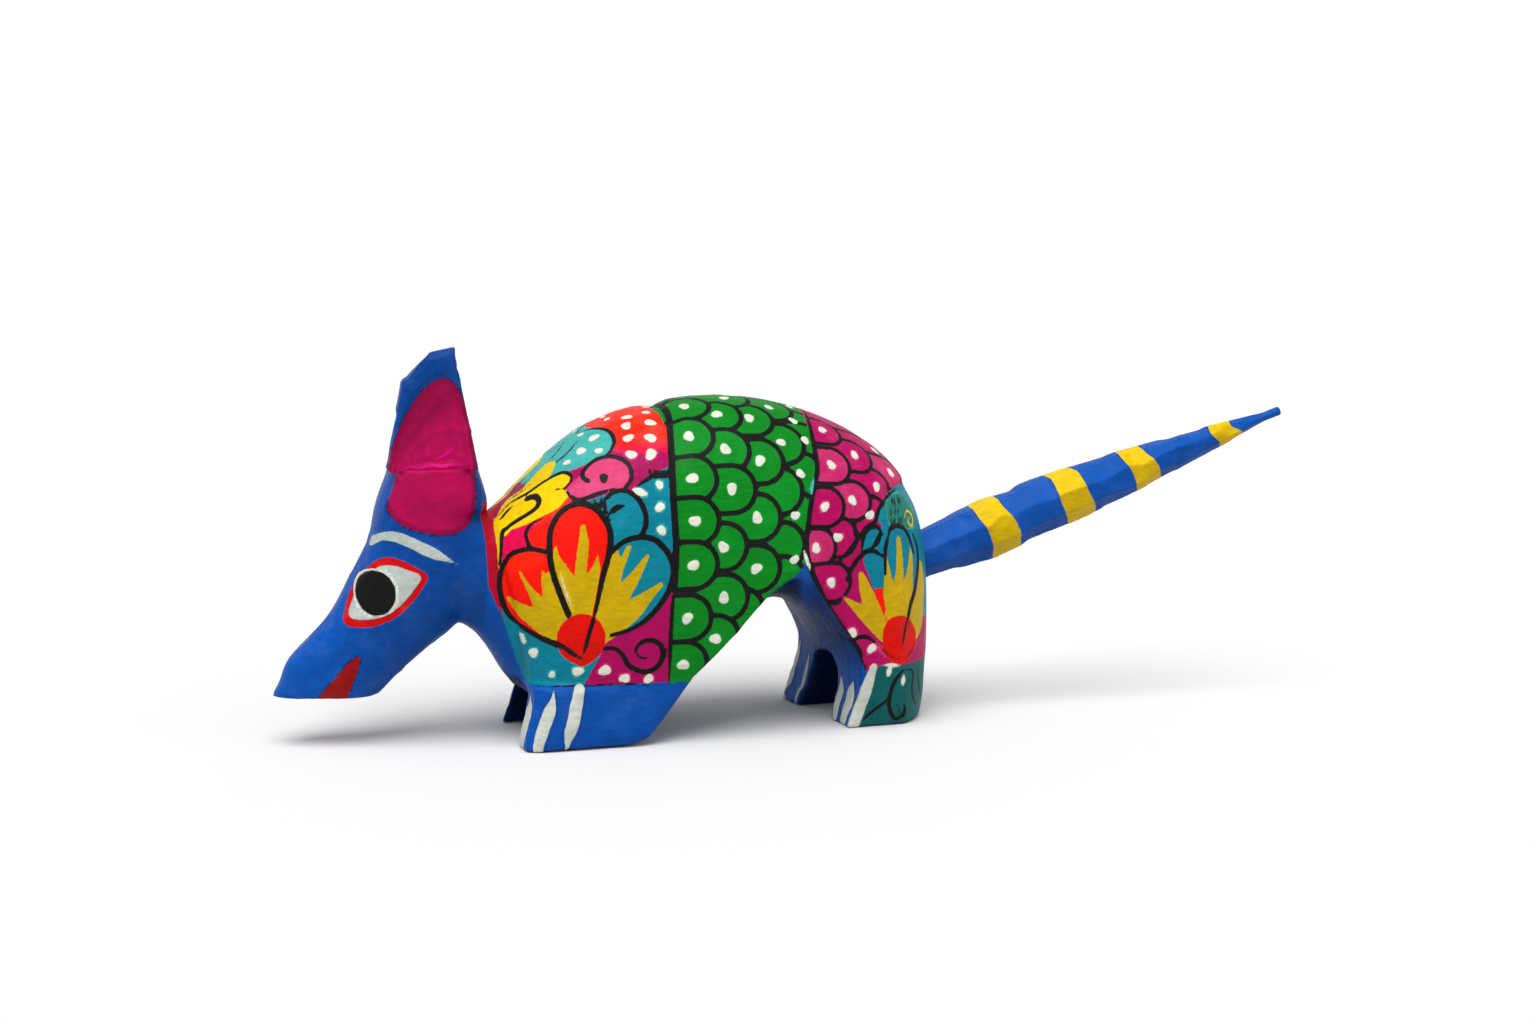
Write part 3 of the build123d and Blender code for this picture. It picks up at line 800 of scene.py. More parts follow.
def paint_rump(canvas):
    """The second flower, on the rump beside the tail, and the teal foot below it."""
    area, block, stroke, ink = canvas.area, canvas.block, canvas.stroke, canvas.ink
    # Teal above the flower, part of it sketched over with a dry brush
    block("teal", [
        (20.4, 56.2), (26.4, 57.2), (36, 56.5), (46, 54), (46, 25), (31, 25), (30, 33), (28.6, 37.4),
        (27.9, 41.2), (25.2, 45.6), (22.6, 48.6), (16.8, 48.6), (13.7, 49.2), (12.2, 51.4), (12.8, 53),
        (15.6, 54.4),
    ], 0.08)
    block("teal", [(22.5, 47.6), (28.6, 47.6), (29.2, 40.4), (23.8, 40.4)], 0.05)
    block("teal", [(12.6, 46.4), (14.4, 50.4), (18.6, 50.2), (17.4, 46.6), (14.8, 43.6)], 0.05)
    area("deep_teal", [
        (18.4, 54.6), (22, 55.4), (27, 55), (29.6, 51.6), (29.8, 47.6), (24, 47.4), (17.8, 48.8),
        (17.2, 51.6),
    ], 1.0)
    # Fine hairs, all laid the same way
    for v, first, count in ((54, 20.2, 4), (51.7, 18.8, 3), (49.5, 18, 4)):
        for k in range(count):
            u = first + 1.55 * k + 0.2 * math.sin(7 * v + 3 * k)
            tall = 0.95 + 0.2 * math.sin(5 * k + v)
            hair = [(u - 0.3, v - tall), (u + 0.1, v), (u + 0.55, v + tall)]
            stroke("black", hair, 0.55, 0.8, ends=(0.7, 0.2))
    spiral = []
    for k in range(15):
        turn, reach = 0.62 * k + 0.6, 0.5 + 0.17 * k
        spiral.append((26.9 + reach * math.cos(turn), 48.9 + 0.85 * reach * math.sin(turn)))
    stroke("yellow", spiral, 0.7, 0.6)
    # The lobe and the leaf on the left
    block("teal", [(8.2, 41.2), (9.4, 43.4), (13.7, 41.9), (14.8, 33.4), (11.2, 34)])
    area("teal", [(8, 43.6), (8.6, 47.1), (10.4, 48.8), (12.6, 48.6), (14, 46.4), (14, 42.2), (10.2, 43.4)])
    block("teal", [
        (14.2, 33), (14.4, 40.9), (14.8, 44.7), (17.2, 47.6), (20.5, 48.1), (23.5, 46.7), (25, 43),
        (28, 42), (28.6, 37), (24.6, 31),
    ], 0.02)
    ink([
        (1.2, 40.8), (5.3, 44.9), (9.2, 48.9), (11.9, 50.2), (14.1, 53.4), (19, 55.2), (25.6, 56.6),
    ], 1.1, ends=(0.5, 0.4))
    ink([(5.7, 51.4), (6.2, 49.6), (6, 47)], 1.0)
    ink([(7.9, 43.6), (8.5, 47.1), (10.4, 48.9), (12.6, 48.8), (14, 46.8)], 1.2)
    ink([(10.8, 44.5), (12.2, 45.4), (13.1, 47.2)], 1.5, ends=(0.3, 0.8))
    ink([(4.1, 36.9), (5.4, 39.7), (7.4, 42.2), (10.2, 43.6), (13.9, 41.8)], 1.3, ends=(0.8, 0.6))
    # The middle petal, the flames and the heart
    block("scarlet", [(11.2, 34.2), (14.3, 34.2), (15.6, 27), (15.4, 24.6), (13, 27.4)], 0.1)
    block("yellow", [
        (2.3, 33.6), (4.2, 32.6), (8.4, 30.4), (7.3, 34.4), (7, 38.6), (8.2, 38.5), (9.8, 36), (12.2, 31.7),
        (15.2, 25.6), (14.6, 20.4), (8.7, 26.1),
    ], 0.1)
    block("yellow", [
        (15.3, 25.6), (13.9, 33), (14.1, 38.4), (14.7, 42.4), (15.4, 39.6), (16.9, 34.8), (18, 39.6),
        (19, 45.4), (19.7, 46.1), (20.6, 45.4), (20.4, 40.4), (20.2, 34.9), (22, 38), (24.2, 43),
        (24.8, 41), (24.6, 37.4), (24, 33), (22.2, 25.6),
    ], 0.1)
    block("yellow", [
        (21.4, 24.4), (23.8, 29.6), (26.4, 33.6), (28.9, 39), (30.4, 38.2), (31.6, 33.6), (30.9, 26),
        (28.6, 22), (25.7, 20.4),
    ], 0.1)
    outline = [
        (14.4, 37.4), (14.3, 40.9), (14.8, 44.7), (17.2, 47.8), (20.5, 48.3), (23.6, 46.8), (24.9, 43.8),
        (25.4, 41.2),
    ]
    ink(outline, 1.25, ends=(0.6, 0.7))
    spike = [(26.8, 45.6), (28, 42), (27.8, 39), (25.7, 33.7), (23, 29.4), (21.6, 25.6)]
    ink(spike, 1.7, ends=(0.5, 0.7))
    area("ball", [
        (14.2, 21.8), (14.5, 24.7), (16.1, 26.7), (18.9, 27.1), (22.1, 26), (24.5, 23.6), (25.5, 21.4),
        (25.1, 18.9), (23.7, 17), (21.3, 15.5), (19.2, 14.9), (16.8, 16.3), (14.8, 18.4),
    ], 0.1)
    ink([(21.7, 26), (20.5, 22.7), (19.5, 18.8)], 0.9, ends=(0.9, 0.3))
    stroke("rim", [(12.4, 20.9), (15, 18.6), (17.1, 17.2), (19.1, 16.3)], 0.8, 1.0)
    stroke("rim", [(26.2, 20.8), (25.1, 19.2), (23, 17.5), (20.6, 16.3)], 0.8, 1.0)
    # Scales in the corner below the left flame
    ink([(-0.6, 32.2), (0.8, 31.5), (2.4, 31.4)], 1.1)
    ink([
        (4.4, 22.6), (5.7, 21.9), (7.4, 22.7), (9.8, 22.6), (12.4, 20.9), (14, 19.4),
    ], 1.1, ends=(0.9, 0.3))
    ink([(5.9, 22), (6.8, 20.9), (7.9, 19.2), (8.7, 17)], 1.3)
    # The teal foot with loops, and its dots
    block("deep_teal", [
        (12.7, 15.1), (16, 15.4), (24, 14.9), (34, 14.8), (50, 14.6), (50, -2), (9.6, -2), (10.1, 3.3),
        (11.3, 7.1), (12.2, 10.8),
    ], 0.08)
    stroke("white", [(14.9, 15.4), (16.9, 15.2), (19.4, 14.9)], 0.9, 0.8)
    ink([
        (23.3, 13.2), (22, 13.6), (20.2, 13.4), (18.8, 11.8), (18, 9.7), (17.7, 7.4), (17.9, 5.1),
        (18.8, 3.1), (20.2, 1.5), (21.1, 1.3), (21.4, 2.3), (20.6, 4), (19.9, 5.2),
    ], 1.05)
    ink([(21.3, 1.4), (22.3, 2.2), (22.4, 3.6), (21.7, 5.2)], 0.95)
    ink([(22.2, 13.6), (24.4, 12.6), (24.7, 10.6), (24.7, 8), (26, 5.6), (27.8, 4.1)], 1.0)
    ink([(27.6, 13.2), (28.4, 9.4), (30.6, 6.4), (33.6, 5)], 0.9)
    ink([(10.8, 1.8), (12.7, 3.2), (15.1, 4.9), (17.5, 6.9)], 1.0)
    for u, v in [(16.5, 13.7), (20.6, 11.2)]:
        stroke("white", [(u, v + 1.1), (u + 0.1, v), (u, v - 1.2)], 1.4, 0.8, ends=(0.4, 0.5))


def paint_head(canvas):
    """Eye, brow and mouth, in the head's own side view."""
    area, block, stroke = canvas.area, canvas.block, canvas.stroke
    area("rim", [
        (-111.1, 29.4), (-110.6, 33.4), (-109.2, 37.4), (-106.2, 41.7), (-103.4, 44.4), (-100.4, 45.2),
        (-96.4, 43.8), (-92.1, 40.9), (-93.6, 37.8), (-95.4, 35.2), (-98.6, 31.9), (-102.2, 29.9),
        (-106.6, 28.8),
    ])
    area("white", [
        (-109.8, 31), (-109.4, 34.2), (-106.9, 39.2), (-103.4, 42.7), (-100.4, 43.4), (-97, 42.5),
        (-93.6, 40.7), (-95.6, 37.4), (-98.6, 33.9), (-102, 31.6), (-106, 30.6),
    ], 0.05)
    area("white", ellipse((-103.9, 36.8), (4.9, 5.6)), 0.8)
    area("pupil", ellipse((-103.9, 36.8), (4.45, 5.15)))
    brow = [
        (-104.6, 47.9), (-102.4, 49.6), (-99.8, 50), (-96.4, 48.9), (-93, 47.2), (-89.6, 45.5), (-86.6, 44),
        (-84.6, 42.9),
    ]
    stroke("white", brow, 2.5, 0.05, ends=(0.55, 0.06))
    block("rim", [
        (-117.6, 9), (-117.4, 12), (-113.6, 16.6), (-110.6, 20.2), (-108.3, 22.1), (-107.7, 21.4),
        (-108.4, 18.4), (-110.4, 13), (-111, 9),
    ], 1.0)


EAR_PATCH = [
    (-88.1, 85.9), (-92.6, 82.9), (-97, 76), (-100, 67.8), (-101.1, 59.4), (-100.6, 56.2), (-98, 53.4),
    (-93.8, 51.6), (-88.4, 50.7), (-84.4, 51.2), (-81.9, 53.6), (-80.9, 59), (-80.8, 66), (-81.4, 72.4),
    (-82.9, 79.1), (-85.2, 84.4),
]
# Lighter lilac lines along the wrinkle that crosses the patch just above the ear's foot: painted highlights
# on its folds
EAR_FOLDS = [
    [(-100.6, 65.9), (-99.2, 64.9), (-97.6, 63.6), (-96.2, 64.6), (-95.2, 65.4)],
    [
        (-99.8, 66.1), (-97.8, 65.7), (-95.8, 66.5), (-93.6, 66.1), (-91, 66.7), (-88.4, 66.4),
        (-85.2, 66.7), (-81.6, 66.2),
    ],
    [(-90.2, 67.7), (-87.6, 68.6), (-85, 70.6)],
]


def on_ear(name, line):
    """A line in the head's side view, drawn for the left ear, where it is on the named ear."""
    size, root = EAR_SCALE[name], EAR_ROOT_X + EAR_SET_BACK[name]
    return [(root + (x - EAR_ROOT_X) * size, CROWN_Z + (z - CROWN_Z) * size) for x, z in line]


def paint_patch(canvas, name, dark_edge, tone):
    """The pink patch on an ear and the head below it, with its dark edge and the painted highlights along
    its folds.
    """
    canvas.area("fuchsia", on_ear(name, EAR_PATCH), tone)
    canvas.stroke("fuchsia", on_ear(name, dark_edge), 0.9, 1.0)
    for fold in EAR_FOLDS:
        canvas.stroke("lilac", on_ear(name, fold), 0.55, 0.1, (0.3, 0.3))


def paint_claws(canvas):
    """Each claw is a line down the foot, a width, and the shares of it at both ends."""
    front = [
        ([
            (-71.4, -16.6, 12.8), (-71.4, -16.8, 10), (-71.8, -16.4, 6), (-72.3, -15.8, 2.5),
            (-72.3, -15.4, 0),
        ], 5.2, (0.06, 0.85)),
        ([
            (-66.9, -22.2, 14.4), (-67.4, -22.2, 11.6), (-68.3, -21.9, 8.6), (-69.4, -21.5, 5.2),
            (-70.5, -20.8, 0.6),
        ], 2.9, (0.15, 0.8)),
        ([
            (-60.7, -22.2, 15), (-61.5, -22.6, 11.7), (-62.3, -22.6, 7.5), (-63.5, -22.6, 3.3),
            (-64.1, -21.6, 0.3),
        ], 3.1, (0.8, 0.25)),
    ]
    hind = [
        ([(7.9, -8.7, 11.2), (7.6, -9.6, 8.5), (6.8, -8.9, 4.7), (5.9, -9.2, 0)], 3.3, (0.05, 0.75)),
        ([(8.5, -15.8, 11.4), (8.2, -15.4, 8.7), (7.2, -14.9, 4.8), (6, -13.8, 0)], 3.9, (0.05, 0.8)),
        ([
            (11.7, -21.4, 14.9), (10.6, -20.9, 10.9), (9.6, -20.2, 7.2), (8.6, -19.1, 3.3), (7.8, -18.5, 0),
        ], 2.9, (0.7, 1)),
    ]
    far = [
        ([(-64.4, 17.6, 12.4), (-65.6, 17.2, 7), (-66.8, 17.4, 0)], 3.0, (0.08, 0.9)),
        ([(7, 18.8, 14.6), (6.6, 19.4, 12.2), (5.4, 19.8, 7), (3.4, 18.6, 0)], 3.2, (0.15, 0.9)),
        ([(6.8, 13, 13.2), (6.4, 12.4, 9.8), (5, 12, 5.4), (3.4, 12, 0)], 1.5, (0.05, 0.6)),
    ]
    for line, width, ends in front[1:]:
        far.append(([(x + 4.6, -y, z) for x, y, z in line], width, ends))
    for line, width, ends in front + hind + far:
        canvas.stroke("white", line, width, 0.45, ends)


# ---- The pieces --------------------------------------------------------------------------


def tenon_x(name):
    """How far along the middle of an ear's tenon is, in the head's frame."""
    return EAR_ROOT_X + EAR_SET_BACK[name] + TENON_BACK * EAR_SCALE[name]


def past_slot(straight, name, margin):
    """How far each point is outside an ear's slot, seen from above, with a margin round it."""
    along = np.abs(straight[:, 0] - tenon_x(name)) - SLOT_HALF_LENGTH
    across = np.abs(straight[:, 1] - EAR_SIGN[name] * EAR_SPREAD) - SLOT_HALF_WIDTH
    return np.maximum(along, across) - margin


def surface_tree(piece, points):
    """The surface as it is now, to look up places on it."""
    faces = [list(face.vertices) for face in piece.data.polygons]
    return BVHTree.FromPolygons([Vector(p) for p in points], faces)


def crease(piece, flat, allowed, folds):
    """Raises or sinks narrow folds, each a line in the side view, a height and a width."""
    points, normals = read_points(piece), read_normals(piece)
    for line, height, width in folds:
        distance = to_line(flat, curve(line))[0]
        lift = height * np.exp(-((distance / width) ** 2)) * allowed
        points += normals * lift[:, None]
    write_points(piece, points)


def lean_feet(piece):
    """Widens the hollows between the feet, leans the toes and turns the far one's front."""
    points = read_points(piece)
    x, y, z = points.T
    low = smoothstep((FOOT_TOP - z) / 2.5) * (x > NECK_X)
    front_foot, far_hind_foot = smoothstep((-34 - x) / 6), smoothstep((x + 12) / 6) * (y > 0)
    # Distances from the middle: the shift is full at the first and has died out at the second
    full, outside = 4.0, 22.6
    widen = low * (7.0 * front_foot + 4.0 * far_hind_foot)
    off = np.abs(y)
    share = np.where(off < full, off / full, (outside - off) / (outside - full))
    points[:, 1] += np.sign(y) * widen * np.clip(share, 0, 1)
    tree = surface_tree(piece, points)
    x, y, z = points.copy().T
    toe = low * smoothstep((-62 - x) / 6) * (y < -3)
    points[:, 0] += toe * (0.16 * z - 1.0)
    # The far front foot's front moves to a plane that leans back and turns away at its side
    for index in np.flatnonzero((low > 0) & (y > 3) & (x < -56)):
        start = Vector((-78, min(y[index], 22.2), z[index]))
        front = tree.ray_cast(start, Vector((1, 0, 0)))[0]
        if front is not None:
            behind = smoothstep(1 - (x[index] - front.x) / 6)
            plane = 0.34 * z[index] + 0.36 * max(y[index] - 11.1, 0) - 71.4
            points[index, 0] += low[index] * behind * (plane - front.x)
    heel = low * smoothstep((14 - x) / 8) * (x > -12) * (y > 3)
    points[:, 0] -= heel * (1.3 - z / 12)
    write_points(piece, points)


def slot_keep(points):
    """1 round the ears' slots, on the crown and in the tail's socket, where fits are kept."""
    head, tail = head_frame(points), tail_frame(points)
    keep = smoothstep((points[:, 2] - (CROWN_Z - 1.3)) / 0.6) * (points[:, 0] < NECK_X + 4)
    for name in EAR_SIGN:
        outside = np.maximum(past_slot(head, name, 0.0), SLOT_FLOOR_Z - 0.4 - points[:, 2])
        keep = np.maximum(keep, smoothstep(1.4 - outside / 0.8))
    from_bore = np.hypot(tail[:, 1], tail[:, 2]) - SOCKET_RADIUS
    socket = np.maximum(from_bore - 3.6, -SOCKET_DEPTH - 0.5 - tail[:, 0])
    return np.maximum(keep, smoothstep(1.2 - socket / 0.8) * (tail[:, 0] < 1.5))


def carve_body(piece):
    """Feet, rounded edges, knife facets that are deepest on head and feet, and two creases."""
    lean_feet(piece)
    keep = slot_keep(read_points(piece))
    soften(piece, keep, 6)
    points = read_points(piece)
    head = smoothstep((NECK_X + 2 - points[:, 0]) / 4)
    feet = smoothstep((FOOT_TOP + 0.5 - points[:, 2]) / 3)
    blue = np.maximum(head, feet)
    not_blue = np.maximum(keep, 1 - blue)
    whittle(piece, not_blue, cuts=700, depth=0.22, reach=5.0, lean=0.05, seed=11)
    less_blue = np.maximum(keep, 0.35 * blue)
    whittle(piece, less_blue, cuts=600, depth=0.10, reach=6.0, lean=0.02, seed=12)
    soften(piece, slot_keep(read_points(piece)), 1)
    # A shallow valley over the back where the front band meets the green one
    points = read_points(piece)
    over = smoothstep((points[:, 2] - 62) / 10) * (np.abs(points[:, 1]) < 24)
    crease(piece, points[:, [0, 2]], over, [([(-36.6, 60), (-36.2, 70), (-35.2, 90)], -1.1, 2.6)])
    # A shallow groove across the rump above the tail
    points = read_points(piece)
    behind = smoothstep((points[:, 0] - 12) / 6)
    crease(piece, points[:, [0, 2]], behind, [([(14, 61), (24, 57), (34, 52)], -0.8, 3.0)])


def out_of_reach(points, normals):
    """1 where no pattern is painted: underneath, and on the walls between the feet."""
    x, y, z = points.T
    inner_wall = np.where(x < -20, 10.5, np.where(y > 0, 9.0, 5.0))
    between_feet = (np.abs(y) < inner_wall) & (z < FOOT_TOP + 0.1)
    inward = normals[:, 1] * np.sign(y) < -0.35
    under = normals[:, 2] < -0.8
    by_tail = (x > 20) & (z > 26)
    below = (inward | under) & (z < 44) & ~by_tail
    return ((between_feet | below) & (x > NECK_X)).astype(float)


def bare_tone(points, normals):
    """Bare blue is darker on the head, with painted light and shade: lighter on the muzzle and where it
    faces the light, darker where it turns away and on the fronts of the hind legs.
    """
    x, z = points[:, 0], points[:, 2]
    lit = smoothstep(normals @ TOWARDS_LIGHT)
    # The muzzle's lighter blue is a painted highlight
    muzzle = smoothstep((-103 - x) / 12)
    tone = np.where(x < NECK_X, (0.40 - 0.26 * muzzle) * (1 - 0.6 * lit), 0.2 * (1 - lit))
    # Painted shade on the fronts of the hind legs, deepening up towards the belly
    hind_front_shade = (x > -14) * (z < 50) * smoothstep(-1.6 * normals[:, 0] - 0.3)
    return np.maximum(tone, 0.75 * hind_front_shade * smoothstep((z - 8) / 16))


def depth_in_body(points, normals):
    """How deep inside the ears' slots or the tail's socket each point of the body is."""
    straight, tail = head_frame(points), tail_frame(points)
    in_bore = SOCKET_RADIUS + 0.4 - np.hypot(tail[:, 1], tail[:, 2])
    above_floor = tail[:, 0] + SOCKET_DEPTH + 0.9
    socket = np.minimum(in_bore, np.minimum(-tail[:, 0], above_floor))
    slots = np.full(len(points), -FAR)
    for name, sign in EAR_SIGN.items():
        within = -past_slot(straight, name, 0.3)
        # The head's outer side is so close to the slot that the paint has to be kept there
        out_side = (straight[:, 1] * sign > EAR_SPREAD) & (normals[:, 1] * sign > 0.3)
        within[out_side & (points[:, 2] < 65)] = -FAR
        slots = np.maximum(slots, np.minimum(within, CROWN_Z + 0.1 - points[:, 2]))
    return np.maximum(socket, np.minimum(slots, points[:, 2] - (SLOT_FLOOR_Z - 0.6)))


def bare_wood(canvas, depth):
    """Leaves bare wood where depth, in millimetres past the paint's edge, is positive."""
    canvas.lay("wood", np.arange(len(depth)), -np.clip(depth, -FAR, FAR), 0.4)


def paint_shell(canvas, tree, blue_light_and_shade, fence):
    """All of the shell's pattern, on both sides. Nothing is painted where fence is positive."""
    canvas.only = canvas.points[:, 0] > NECK_X - 2
    canvas.chart = SideMap(canvas.points)
    paint_rim(canvas)
    canvas.chart = ShellMap(canvas.points, tree)
    paint_front(canvas)
    paint_scales(canvas)
    canvas.chart = RumpMap(canvas.points, tree)
    paint_rump(canvas)
    for layer in canvas.layers.values():
        layer[canvas.only] = np.maximum(layer, fence)[canvas.only]
    # Where no pattern is, the bare blue keeps its painted light and shade
    canvas.tone = np.where(fence > 0, blue_light_and_shade, canvas.tone)


def paint_face(canvas, points):
    """The ears' patches where they go on below the joint, then eyes, brows and mouth."""
    straight = head_frame(points)
    from_middle = np.abs(straight[:, 1])
    canvas.chart = SideMap(straight)
    for name, sign in EAR_SIGN.items():
        canvas.only = (points[:, 0] < NECK_X + 1) & (straight[:, 1] * sign > EAR_SPREAD)
        paint_patch(canvas, name, EAR_PATCH[3:13], 0.1)
    # Neither the patches nor the brows of the two sides reach the head's middle
    patch_edge, brow_edge = 8.0, 3.4
    for paint in ("fuchsia", "lilac"):
        canvas.layers[paint] = np.maximum(canvas.layers[paint], patch_edge - from_middle)
    canvas.only = points[:, 0] < NECK_X - 0.5
    paint_head(canvas)
    brow_gap = np.where(canvas.only, brow_edge - from_middle, -FAR)
    canvas.layers["white"] = np.maximum(canvas.layers["white"], brow_gap)
    canvas.only = np.ones(len(points), bool)


def make_body():
    piece = skin("body", 0.65)
    carve_body(piece)
    points, normals = read_points(piece), read_normals(piece)
    # The far side has the near side's pattern, in mirror image
    mirrored = points.copy()
    mirrored[:, 1] = -np.abs(points[:, 1])
    tree = surface_tree(piece, points)
    canvas = Canvas(piece, mirrored, list(PAINTS))
    hidden = out_of_reach(points, normals)
    # Painted shade: the bare blue turns dark navy underneath and on the walls between the feet, over the
    # painted light and shade of the bare blue
    blue_light_and_shade = np.maximum(bare_tone(points, normals), blur(piece, hidden, 6))
    canvas.tone = blue_light_and_shade.copy()
    fence = (blur(piece, hidden, 4) - 0.5) * 4.0
    paint_shell(canvas, tree, blue_light_and_shade, fence)
    paint_face(canvas, points)
    canvas.chart = SurfaceMap(points, tree)
    paint_claws(canvas)
    bare_wood(canvas, depth_in_body(points, normals))
    canvas.finish({"black": 0.05, "white": 0.14})
    piece.data.materials.append(paint_material("painted_body", list(PAINTS), (0.25, 1.0, 1.0)))
    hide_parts("body")
    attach(piece, "figure")


def carve_ear(piece, name):
    """Rounds and whittles an ear, flares its foot over the joint, and folds its outer face."""
    sign = EAR_SIGN[name]
    points = read_points(piece)
    keep = smoothstep((67.6 - points[:, 2]) / 1.6)
    soften(piece, keep, 4)
    whittle(piece, keep, cuts=160, depth=0.22, reach=4.5, lean=0.06, seed=21 + sign)
    soften(piece, keep, 1)
    points = read_points(piece)
    straight = head_frame(points)
    outwards = straight[:, 1] * sign - EAR_SPREAD
    # The foot's outer edge flares to meet the head's side, and laps over the joint
    flare = smoothstep((69.5 - points[:, 2]) / 4) * smoothstep((outwards - 0.8) / 1.6)
    flare *= points[:, 2] > 64.6
    ripple = 0.85 + 0.15 * np.sin(1.9 * straight[:, 0]) * np.sin(0.7 * straight[:, 0] + 1)
    points[:, 1] += sign * 0.75 * flare * ripple
    points[:, 2] -= 0.7 * flare * smoothstep((67.5 - points[:, 2]) / 2)
    write_points(piece, points)
    crease(piece, straight[:, [0, 2]], smoothstep(outwards) * (1 - keep), [
        (on_ear(name, [(-97.4, 71), (-93.6, 76), (-89.8, 80.4), (-87.6, 84)]), 0.35, 0.9),
        (on_ear(name, [(-95.4, 69.4), (-91, 73.4), (-86, 74.4), (-82, 74)]), 0.30, 0.8),
        (on_ear(name, [(-99.2, 68.6), (-94, 67.8), (-89, 68.9), (-83, 68.2)]), 0.22, 0.6),
        (on_ear(name, [(-92.6, 81.4), (-88.8, 77), (-86.6, 72)]), -0.25, 1.1),
    ])
    return straight, outwards


def make_ear(name):
    used = ["fuchsia", "lilac", "wood"]
    piece = skin(name + "_ear", 0.4)
    straight, outwards = carve_ear(piece, name)
    points = read_points(piece)

    def hollow(flat):
        """Painted shade in the ear's hollow: the fuchsia is darker towards its front upper edge."""
        x = (flat[:, 0] - EAR_ROOT_X - EAR_SET_BACK[name]) / EAR_SCALE[name]
        z = (flat[:, 1] - CROWN_Z) / EAR_SCALE[name]
        return smoothstep((z - 0.9 * x + 3.0) / 7.0) * 0.75

    canvas = Canvas(piece, points, used, SideMap(straight))
    canvas.tone = 0.28 + 0.2 * smoothstep((points[:, 2] - 66) / 24)
    canvas.only = outwards > 0
    paint_patch(canvas, name, EAR_PATCH[11:] + EAR_PATCH[:6], hollow)
    below_crown = CROWN_Z - 0.6 - points[:, 2]
    bare_wood(canvas, np.minimum(below_crown, -past_slot(straight, name, 0.6)))
    canvas.finish({"lilac": 0.12})
    piece.data.materials.append(paint_material("painted_" + name + "_ear", used, (1.0, 1.0, 0.3)))
    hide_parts(name + "_ear")
    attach(piece, name + "_ear")


def blunt_tip(piece):
    """Fills the tail out near its end, so that it stops in a small blunt face."""
    points = read_points(piece)
    reach = tail_frame(points)[:, 0]
    behind_end = reach.max() - reach
    near = smoothstep((9.0 - behind_end) / 7.0)
    inner = TAIL_SEAT + reach[:, None] * TAIL_AXIS
    inner = inner + (points - inner)[behind_end < 6.0].mean(0)
    outwards = points - inner
    radius = np.maximum(np.linalg.norm(outwards, axis=1), 0.2)
    share = np.clip(1.1 * smoothstep(behind_end / 0.8 + 0.6) / radius - 1, 0, 1.5) * near
    write_points(piece, points + outwards * share[:, None])


def paint_rings(canvas, straight, facing):
    """Yellow rings round the tail, each a little askew."""
    reach = straight[:, 0]
    around = np.arctan2(straight[:, 2], -straight[:, 1])
    rings = [(22.2, 8.0, 1.0, 0.3), (43.0, 8.2, 0.7, 0.9), (62.6, 7.4, 1.2, 0.2), (86.9, 7.0, 1.2, 0.6)]
    for middle, width, lean, phase in rings:
        askew = middle - lean * np.sin(around + 0.2) + 0.3 * np.sin(3 * around + 5 * phase)
        half = width / 2 - 0.35 - 0.3 * np.sin(around - 0.4)
        field = np.clip(np.abs(reach - askew) - half, -FAR, FAR)
        # The yellow is painted lighter on surfaces that face the light: a painted highlight
        canvas.lay("yellow", np.arange(len(reach)), field, 0.05 + 0.75 * smoothstep(facing))


def make_tail():
    used = ["yellow", "wood"]
    piece = skin("tail", 0.45)
    keep = smoothstep((2.5 - tail_frame(read_points(piece))[:, 0]) / 1.8)
    soften(piece, keep, 1)
    whittle(piece, keep, cuts=150, depth=0.34, reach=9.0, lean=0.05, seed=31)
    blunt_tip(piece)
    points = read_points(piece)
    straight = tail_frame(points)
    canvas = Canvas(piece, points, used)
    facing = read_normals(piece) @ TOWARDS_LIGHT
    # Painted shade: the tail's bare blue is darker on surfaces that turn away from the light
    canvas.tone = 0.24 * (1 - smoothstep(facing + 0.1)) + 0.2 * smoothstep(-facing)
    paint_rings(canvas, straight, facing)
    bare_wood(canvas, -0.05 - straight[:, 0])
    canvas.finish({"yellow": 0.05})
    piece.data.materials.append(paint_material("painted_tail", used, (0.25, 1.0, 1.0)))
    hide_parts("tail")
    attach(piece, "tail")


# ---- Camera, floor and light -------------------------------------------------------------


def direction(azimuth, elevation):
    """The way from the object to a place at that azimuth and elevation, in degrees."""
    a, e = math.radians(azimuth), math.radians(elevation)
    return Vector((math.sin(a) * math.cos(e), -math.cos(a) * math.cos(e), math.sin(e)))


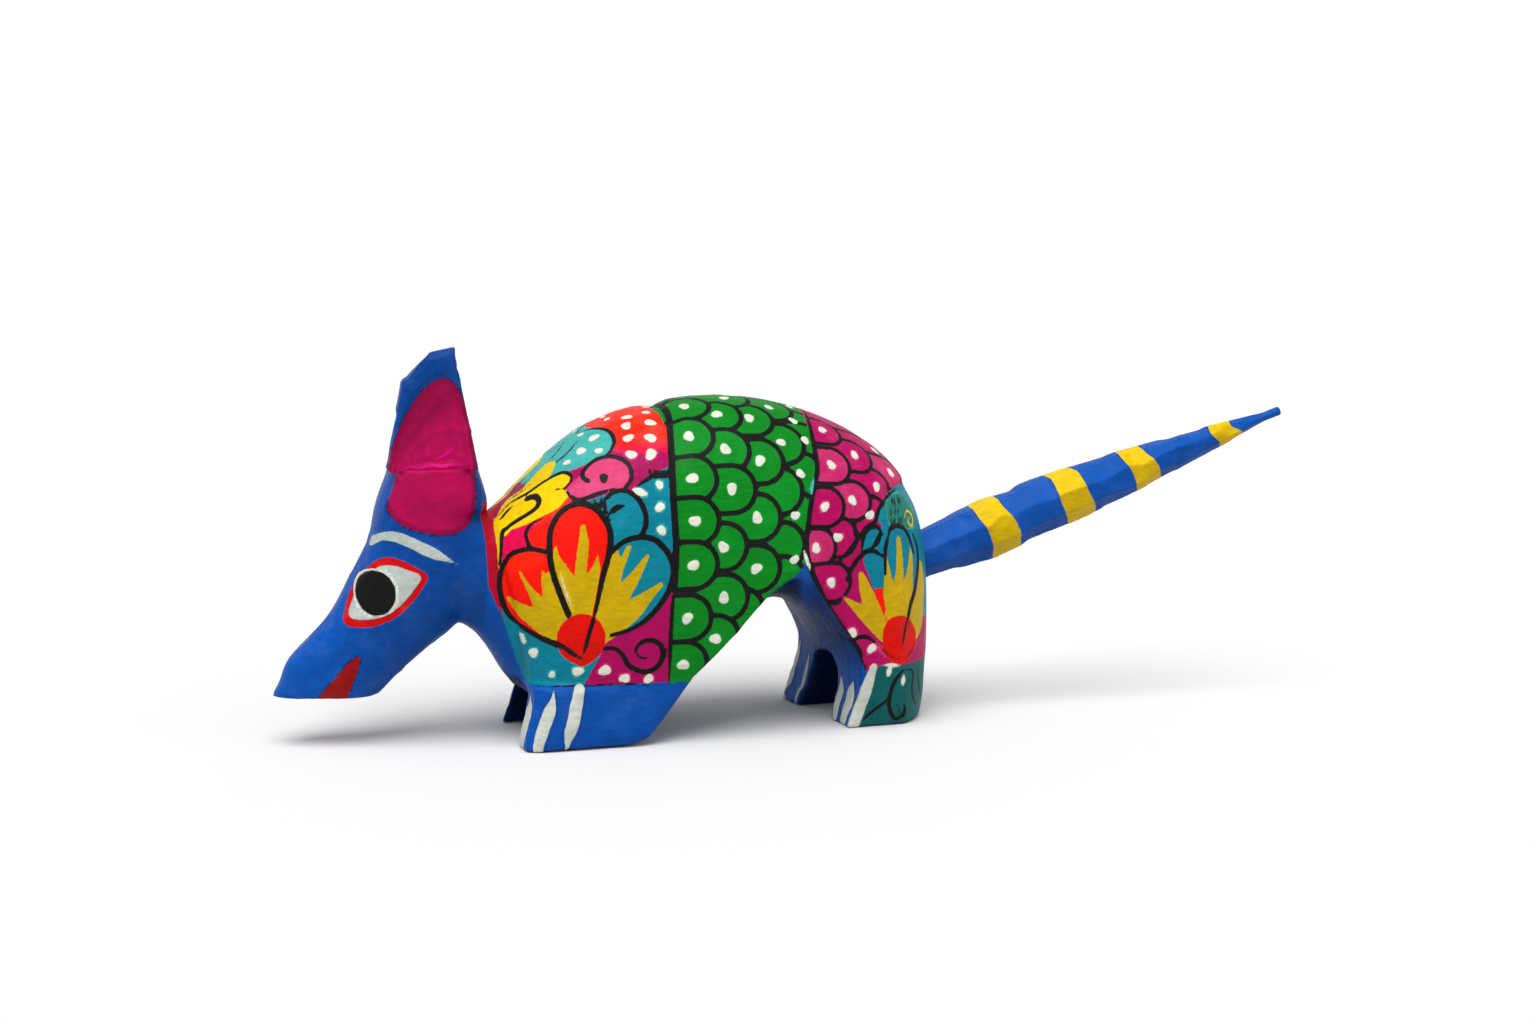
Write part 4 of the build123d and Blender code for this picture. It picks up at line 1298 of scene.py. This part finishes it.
def make_camera():
    """A long lens, a little to the head's side of square on and a little above."""
    aim, distance = Vector((-0.00775, 0.0, 0.0501)), 0.9
    back = direction(azimuth=-18.0, elevation=9.0)
    data = bpy.data.cameras.new("camera")
    data.lens = 87.9
    data.sensor_width = 36.0
    data.clip_start, data.clip_end = 0.05, 60.0
    camera = bpy.data.objects.new("camera", data)
    bpy.context.scene.collection.objects.link(camera)
    camera.location = aim + distance * back
    camera.rotation_euler = back.to_track_quat("Z", "Y").to_euler()
    bpy.context.scene.camera = camera


def make_floor():
    """A round floor, flat under the object, that rises far away like a studio's backdrop."""
    # Rings of so many points, each with its radius and height in metres
    profile = [(0.6, 0), (1.5, 0), (2.6, 0.06), (3.6, 0.3), (4.6, 0.8), (5.6, 1.6), (6.6, 2.6)]
    count = 64
    points = [(0, 0, 0)]
    for radius, rise in profile:
        turns = [2 * math.pi * k / count for k in range(count)]
        points += [(radius * math.cos(t), radius * math.sin(t), rise) for t in turns]
    faces = [(0, 1 + k, 1 + (k + 1) % count) for k in range(count)]
    for ring in range(len(profile) - 1):
        for k in range(count):
            a, b = 1 + ring * count + k, 1 + ring * count + (k + 1) % count
            faces.append((a, a + count, b + count, b))
    mesh = bpy.data.meshes.new("floor")
    mesh.from_pydata(points, [], faces)
    mesh.shade_smooth()
    floor = bpy.data.objects.new("floor", mesh)
    floor.location.z = -0.0002
    bpy.context.scene.collection.objects.link(floor)
    nodes = Nodes("floor")
    nodes.shader.inputs["Base Color"].default_value = (0.69, 0.69, 0.69, 1.0)
    nodes.shader.inputs["Roughness"].default_value = 0.9
    nodes.shader.inputs["Specular IOR Level"].default_value = 0.1
    mesh.materials.append(nodes.material)


def make_lights():
    world = bpy.data.worlds.new("studio")
    bpy.context.scene.world = world
    world.use_nodes = True
    world.node_tree.nodes["Background"].inputs["Color"].default_value = (1.0, 1.0, 1.0, 1.0)
    world.node_tree.nodes["Background"].inputs["Strength"].default_value = 0.5
    suns = [("key", -34, 66, 3.0, 50), ("fill", 40, 35, 0.4, 70)]
    for name, azimuth, elevation, strength, spread in suns:
        data = bpy.data.lights.new(name, "SUN")
        data.energy = strength
        data.angle = math.radians(spread)
        light = bpy.data.objects.new(name, data)
        light.rotation_euler = direction(azimuth, elevation).to_track_quat("Z", "Y").to_euler()
        bpy.context.scene.collection.objects.link(light)


bpy.context.scene.view_settings.view_transform = "Standard"
make_camera()
make_floor()
make_lights()
make_body()
make_ear("left")
make_ear("right")
make_tail()
bpy.context.view_layer.update()
